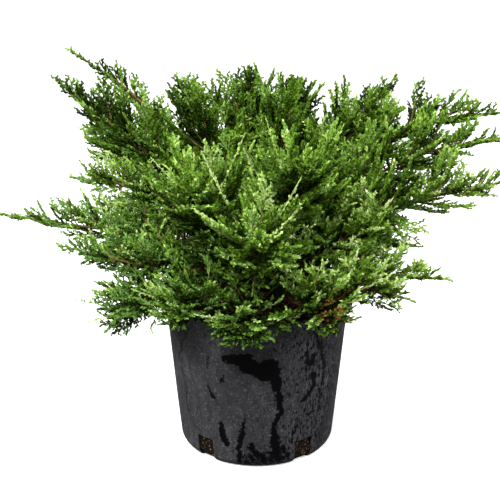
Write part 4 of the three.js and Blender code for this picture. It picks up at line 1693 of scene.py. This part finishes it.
    def clad(self, shoots: Shoots, start: float, step: float, overlap: float = 2.0) -> Shoots:
        """Cut shoots into sprigs laid end to end along them.

        Args:
            shoots: The shoots.
            start: Share of each shoot where the first sprig starts.
            step: Length of a sprig, less what it overlaps the next.
            overlap: How far it overlaps the next.

        Returns:
            The sprigs.
        """
        counts = np.maximum(np.round((1 - start) * shoots.length / step), 1).astype(int)
        parent = np.repeat(np.arange(len(shoots)), counts)
        order = np.arange(len(parent)) - np.repeat(np.cumsum(counts) - counts, counts)
        base = shoots.chosen(parent)
        share = start + (1 - start) * order / counts[parent]
        onward = start + (1 - start) * (order + 1) / counts[parent]
        spot, end = base.point(share), base.point(onward)
        length = np.linalg.norm(end - spot, axis=1) + overlap
        aim = unit(end - spot)
        face = squared(base.face, aim)
        return Shoots(spot, aim, aim * 0, length, face, base.mass, base.vigour)

    def build(self) -> dict[Green, list[bpy.types.Object]]:
        """Grow the whole crown and return its needles, sorted by green."""
        chance = np.random.default_rng(77)
        twigs, inner, whips = self.grow_twigs()
        leaders = self.leaders()
        sprays = self.sprays.grow(twigs, chance)
        sprays = sprays.fitted(self.space, self.overlap + 0.1, self.least_spray, 3)
        sprays = self._together([sprays, self.tip_sprays.grow(leaders, chance)])
        inner_sprays = self.inner_sprays.grow(inner, chance)
        inner_sprays = inner_sprays.fitted(self.space, self.inner_overlap, self.least_inner_spray, 3)
        whole = self._together([sprays, leaders])
        spines = [self.clad(whole, *self.cladding), self.clad(twigs, *self.twig_cladding)]
        spines += [self.clad(inner_sprays, *self.inner_cladding)]
        tufts = [self.tufts.grow(sprays, chance), self.tufts.grow(leaders, chance)]
        tufts += [self.inner_tufts.grow(inner_sprays, chance)]
        spines, tufts = self._together(spines), self._together(tufts)
        log.info("%d twigs, %d inner, %d sprays", len(twigs), len(inner), len(sprays) + len(inner_sprays))
        self.wood = self._together([twigs, inner])
        pieces = {green: [] for green in Green}
        pale_spines, pale_tufts = self.clad(whips, *self.cladding), self.whip_tufts.grow(whips, chance)
        groups = ((spines, SPINES), (tufts, TUFTS), (pale_spines, WHIP_SPINES), (pale_tufts, TUFTS))
        for sprigs, models in groups:
            clear = self.space.clear_of_pot(sprigs.at(1.0)) & self.space.clear_of_pot(sprigs.at(0.5))
            sprigs = sprigs.chosen(clear)
            greens = self._greens(sprigs, chance)
            for number, green in enumerate(Green):
                pieces[green].append(self._copies(models, sprigs.chosen(greens == number), chance))
        return {green: self._joined(green, parts) for green, parts in pieces.items()}

    @staticmethod
    def _together(groups: list[Shoots]) -> Shoots:
        """Several groups of shoots as one."""
        names = list(Shoots.__dataclass_fields__)
        return Shoots(*(np.concatenate([getattr(group, name) for group in groups]) for name in names))

    def _greens(self, sprigs: Shoots, chance: np.random.Generator) -> np.ndarray:
        """The number of each sprig's green: a whip's sprigs are all fresh."""
        tips = sprigs.at(1.0)
        depth = self.space.depths(tips)[np.arange(len(tips)), sprigs.mass]
        greens = self.dealing.greens(tips, depth, sprigs.vigour, chance)
        if sprigs.vigour.min(initial=0.0) > 1:
            greens[:] = list(Green).index(Green.FRESH)
        return greens

    def _copies(
        self, models: tuple[Sprig, ...], sprigs: Shoots, chance: np.random.Generator
    ) -> tuple[np.ndarray, np.ndarray]:
        """Copy modelled sprigs to the places of many.

        Args:
            models: The sprigs to choose from by length.
            sprigs: The places.
            chance: Where random numbers come from.

        Returns:
            The corners of all the copies, and their triangles.
        """
        sizes = np.array([model.length for model in models])
        nearest = np.abs(sprigs.length[:, None] - sizes).argmin(axis=1)
        spots, faces, offset = [np.zeros((0, 3))], [np.zeros((0, 3), int)], 0
        for size, model in enumerate(models):
            for variant in range(self.variants):
                corners, triangles = model.template(np.random.default_rng(10 * size + variant))
                group = sprigs.chosen(np.flatnonzero(nearest == size)[variant :: self.variants])
                roll = np.radians(chance.uniform(-60, 60, len(group)))[:, None]
                across = np.cross(group.aim, group.face) * np.cos(roll) + group.face * np.sin(roll)
                above = np.cross(across, group.aim)
                stretch = (group.length / model.length)[:, None, None]
                girth = chance.uniform(0.9, 1.15, len(group))[:, None, None]
                placed = (
                    group.root[:, None, :]
                    + corners[None, :, 1:2] * stretch * group.aim[:, None, :]
                    + corners[None, :, 0:1] * girth * across[:, None, :]
                    + corners[None, :, 2:3] * girth * above[:, None, :]
                )
                starts = offset + len(corners) * np.arange(len(group))
                spots.append(placed.reshape(-1, 3))
                faces.append((triangles[None] + starts[:, None, None]).reshape(-1, 3))
                offset += len(corners) * len(group)
        return np.concatenate(spots), np.concatenate(faces)

    @staticmethod
    def _joined(green: Green, parts: list[tuple[np.ndarray, np.ndarray]]) -> list[bpy.types.Object]:
        """Join the copies of one green into as few pieces as the largest piece allows."""
        offsets = np.cumsum([0] + [len(corners) for corners, _ in parts])
        corners = np.concatenate([corners for corners, _ in parts])
        triangles = np.concatenate([faces + offset for (_, faces), offset in zip(parts, offsets)])
        count = math.ceil(len(triangles) / LARGEST_PIECE)
        cuts = [len(triangles) * i // count // 2 * 2 for i in range(count)] + [len(triangles)]
        pieces = []
        for number, (low, high) in enumerate(zip(cuts, cuts[1:])):
            used, faces = np.unique(triangles[low:high], return_inverse=True)
            name = green.value.name + (f"_{number + 1}" if count > 1 else "")
            pieces.append(Bench.joined(name, corners[used], faces.reshape(-1, 3)))
        return pieces

    def build_wood(self) -> dict[str, bpy.types.Object]:
        """The bare wood inside the foliage: brown twigs and the paler outer shoots."""
        twigs = self.wood
        brown_runs, green_runs = [], []
        for row in BOUGHS:
            curve = self.framework.limbs[row.name].curve
            shares = np.linspace(self.framework.foot_share * 0.97, 1, 22)
            part = (shares - shares[0]) / (1 - shares[0])
            radii = self.shoot_radius + (self.shoot_tip_radius - self.shoot_radius) * part
            line = curve.point(shares)
            brown_runs.append((line[:15], radii[:15]))
            green_runs.append((line[14:], radii[14:]))
        for i in range(len(twigs)):
            twig = twigs.chosen(np.array([i]))
            steps = np.linspace(0, 1, 6)
            line = np.concatenate([twig.at(step) for step in steps])
            thick = 0.55 + 0.011 * twig.length[0]
            radii = thick + (0.5 - thick) * steps
            brown_runs.append((line[:4], radii[:4]))
            green_runs.append((line[3:], radii[3:]))
        return {
            "young_twigs": self._tubes("young_twigs", brown_runs, 5),
            "green_twigs": self._tubes("green_twigs", green_runs, 4),
        }

    @staticmethod
    def _tubes(name: str, runs: list[tuple[np.ndarray, np.ndarray]], sides: int) -> bpy.types.Object:
        """Join round tapering twigs, each along its own line.

        Args:
            name: The piece's name.
            runs: For each twig its line and its radii.
            sides: How many sides a twig has.

        Returns:
            The joined piece, with its grain noted.
        """
        spots, faces, grains, offset = [], [], [], 0
        turns = np.arange(sides) * math.tau / sides
        for number, (line, radii) in enumerate(runs):
            tangent = unit(np.gradient(line, axis=0))
            across = unit(np.cross(UP + 0.01, tangent))
            above = np.cross(tangent, across)
            wide, high = np.cos(turns)[None, :, None], np.sin(turns)[None, :, None]
            ring = across[:, None] * wide + above[:, None] * high
            spots.append((line[:, None] + ring * radii[:, None, None]).reshape(-1, 3))
            along = np.concatenate([[0], np.cumsum(np.linalg.norm(np.diff(line, axis=0), axis=1))])
            around = turns[None] * radii[:, None]
            lengthwise = np.broadcast_to(along[:, None] + 37.0 * number, around.shape)
            grains.append(np.stack([around, lengthwise, np.zeros_like(around)], -1).reshape(-1, 3))
            for i in range(len(line) - 1):
                for s in range(sides):
                    a, b = offset + i * sides + s, offset + i * sides + (s + 1) % sides
                    faces += [(a, b, b + sides), (a, b + sides, a + sides)]
            last = offset + (len(line) - 1) * sides
            for s in range(1, sides - 1):
                faces += [(offset, offset + s + 1, offset + s), (last, last + s, last + s + 1)]
            offset += len(line) * sides
        piece = Bench.joined(name, np.concatenate(spots), np.array(faces))
        piece.data.shade_smooth()
        grain = piece.data.attributes.new(GRAIN, "FLOAT_VECTOR", "POINT")
        grain.data.foreach_set("vector", np.concatenate(grains).astype(np.float32).ravel())
        return piece

    def dress(self, needles: dict[Green, list[bpy.types.Object]], wood: dict[str, bpy.types.Object]) -> None:
        """Give needles and twigs their finishes, put them on the body and hide the masses that they stand
        for.
        """
        masses = [f"foliage_{row.name}" for row in BOUGHS]
        for green, pieces in needles.items():
            material = green.value.material()
            for piece in pieces:
                hand_in(piece, material, "foliage", *masses)
        hand_in(wood["young_twigs"], YOUNG_BARK.material(), "bark", *masses)
        hand_in(wood["green_twigs"], GREEN_BARK.material(), "bark", *masses)


# ---------------------------------------------------------------- the studio


@dataclass
class Studio:
    """A white floor that glows, less beside the pot as a painted shadow, soft lights and a camera that looks
    down on the pot.
    """

    distance: float = 2.1
    tilt: float = 21.07  # degrees below level
    focus_height: float = 0.289
    lens: float = 103.25
    sensor: float = 36.0
    aside: float = -0.0105
    above: float = 0.0103
    floor_size: float = 40.0
    floor_glow: Pair = (0.34, 0.58)  # beside the pot, and far off
    glow_rise: Pair = (0.115, 0.19)  # metres from the axis where it starts and ends to rise

    def build(self) -> None:
        """Set up the whole studio."""
        self._camera()
        self._floor()
        self._light("left_box", (-2.1, -0.4, 1.2), 1.6, 84.0)
        self._light("right_box", (2.1, -0.5, 1.1), 1.6, 74.0)
        self._light("front_box", (-0.5, -2.4, 2.8), 0.8, 182.0)
        self._light("top_box", (0.0, -0.2, 3.0), 1.6, 34.0)
        world = bpy.data.worlds.new("studio_white")
        bpy.context.scene.world = world
        world.use_nodes = True
        backdrop = world.node_tree.nodes["Background"]
        backdrop.inputs["Color"].default_value = (1, 1, 1, 1)
        backdrop.inputs["Strength"].default_value = 0.25
        bpy.context.scene.view_settings.view_transform = "Standard"

    def _camera(self) -> None:
        """Stand the camera in front, a little above, and aim it at the middle of the plant."""
        Bench.clear()
        down = math.radians(self.tilt)
        along = Vector((0, math.cos(down), -math.sin(down)))
        up = Vector((0, math.sin(down), math.cos(down)))
        spot = Vector((self.aside, 0, self.focus_height)) - along * self.distance + up * self.above
        bpy.ops.object.camera_add(location=spot, rotation=(math.pi / 2 - down, 0, 0))
        camera = bpy.context.object
        camera.data.lens = self.lens
        camera.data.sensor_width = self.sensor
        camera.data.sensor_fit = "HORIZONTAL"
        bpy.context.scene.camera = camera

    def _floor(self) -> None:
        """Lay the white floor, which glows, less beside the pot as a painted shadow."""
        Bench.clear()
        bpy.ops.mesh.primitive_plane_add(size=self.floor_size, location=(0, 0, 0))
        floor = Bench.name_new("studio_floor")
        mix = Recipe("studio_floor")
        cloud = mix.grain(mix.place, 1.5, 2.0)
        colour = mix.blend(cloud, (0.93, 0.93, 0.93, 1), (0.96, 0.96, 0.96, 1))
        away = mix.step("ShaderNodeVectorMath", {0: mix.place}, operation="LENGTH").outputs["Value"]
        near, far = self.floor_glow
        # The glow is lower beside the pot, a painted shadow round its foot.
        strength = mix.maths("MULTIPLY_ADD", mix.between(away, *self.glow_rise), far - near, near)
        glow = {"Emission Color": (1, 1, 1, 1), "Emission Strength": strength}
        floor.data.materials.append(
            mix.finished({"Base Color": colour, "Roughness": 0.9, "Specular IOR Level": 0.2, **glow})
        )
        floor.visible_diffuse = False
        floor.visible_glossy = False

    @staticmethod
    def _light(name: str, spot: Triple, size: float, power: float) -> None:
        """Hang a soft square light that faces the plant."""
        Bench.clear()
        aim = Vector((0, 0, 0.3)) - Vector(spot)
        turn = aim.to_track_quat("-Z", "Y").to_euler()
        bpy.ops.object.light_add(type="AREA", location=spot, rotation=turn)
        light = bpy.context.object
        light.name = name
        light.data.size = size
        light.data.energy = power


def main() -> None:
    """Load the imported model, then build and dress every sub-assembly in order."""
    logging.basicConfig(level=logging.INFO, format="%(name)s: %(message)s")
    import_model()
    Studio().build()

    pot = NurseryPot()
    pot.dress(pot.build())
    mix = PottingMix(pot)
    mix.dress(mix.build(), mix.build_chips())

    framework = Framework()
    framework.dress(framework.build())
    foliage = Foliage(framework, CrownSpace(framework, pot))
    foliage.dress(foliage.build(), foliage.build_wood())


if __name__ == "__main__":
    main()
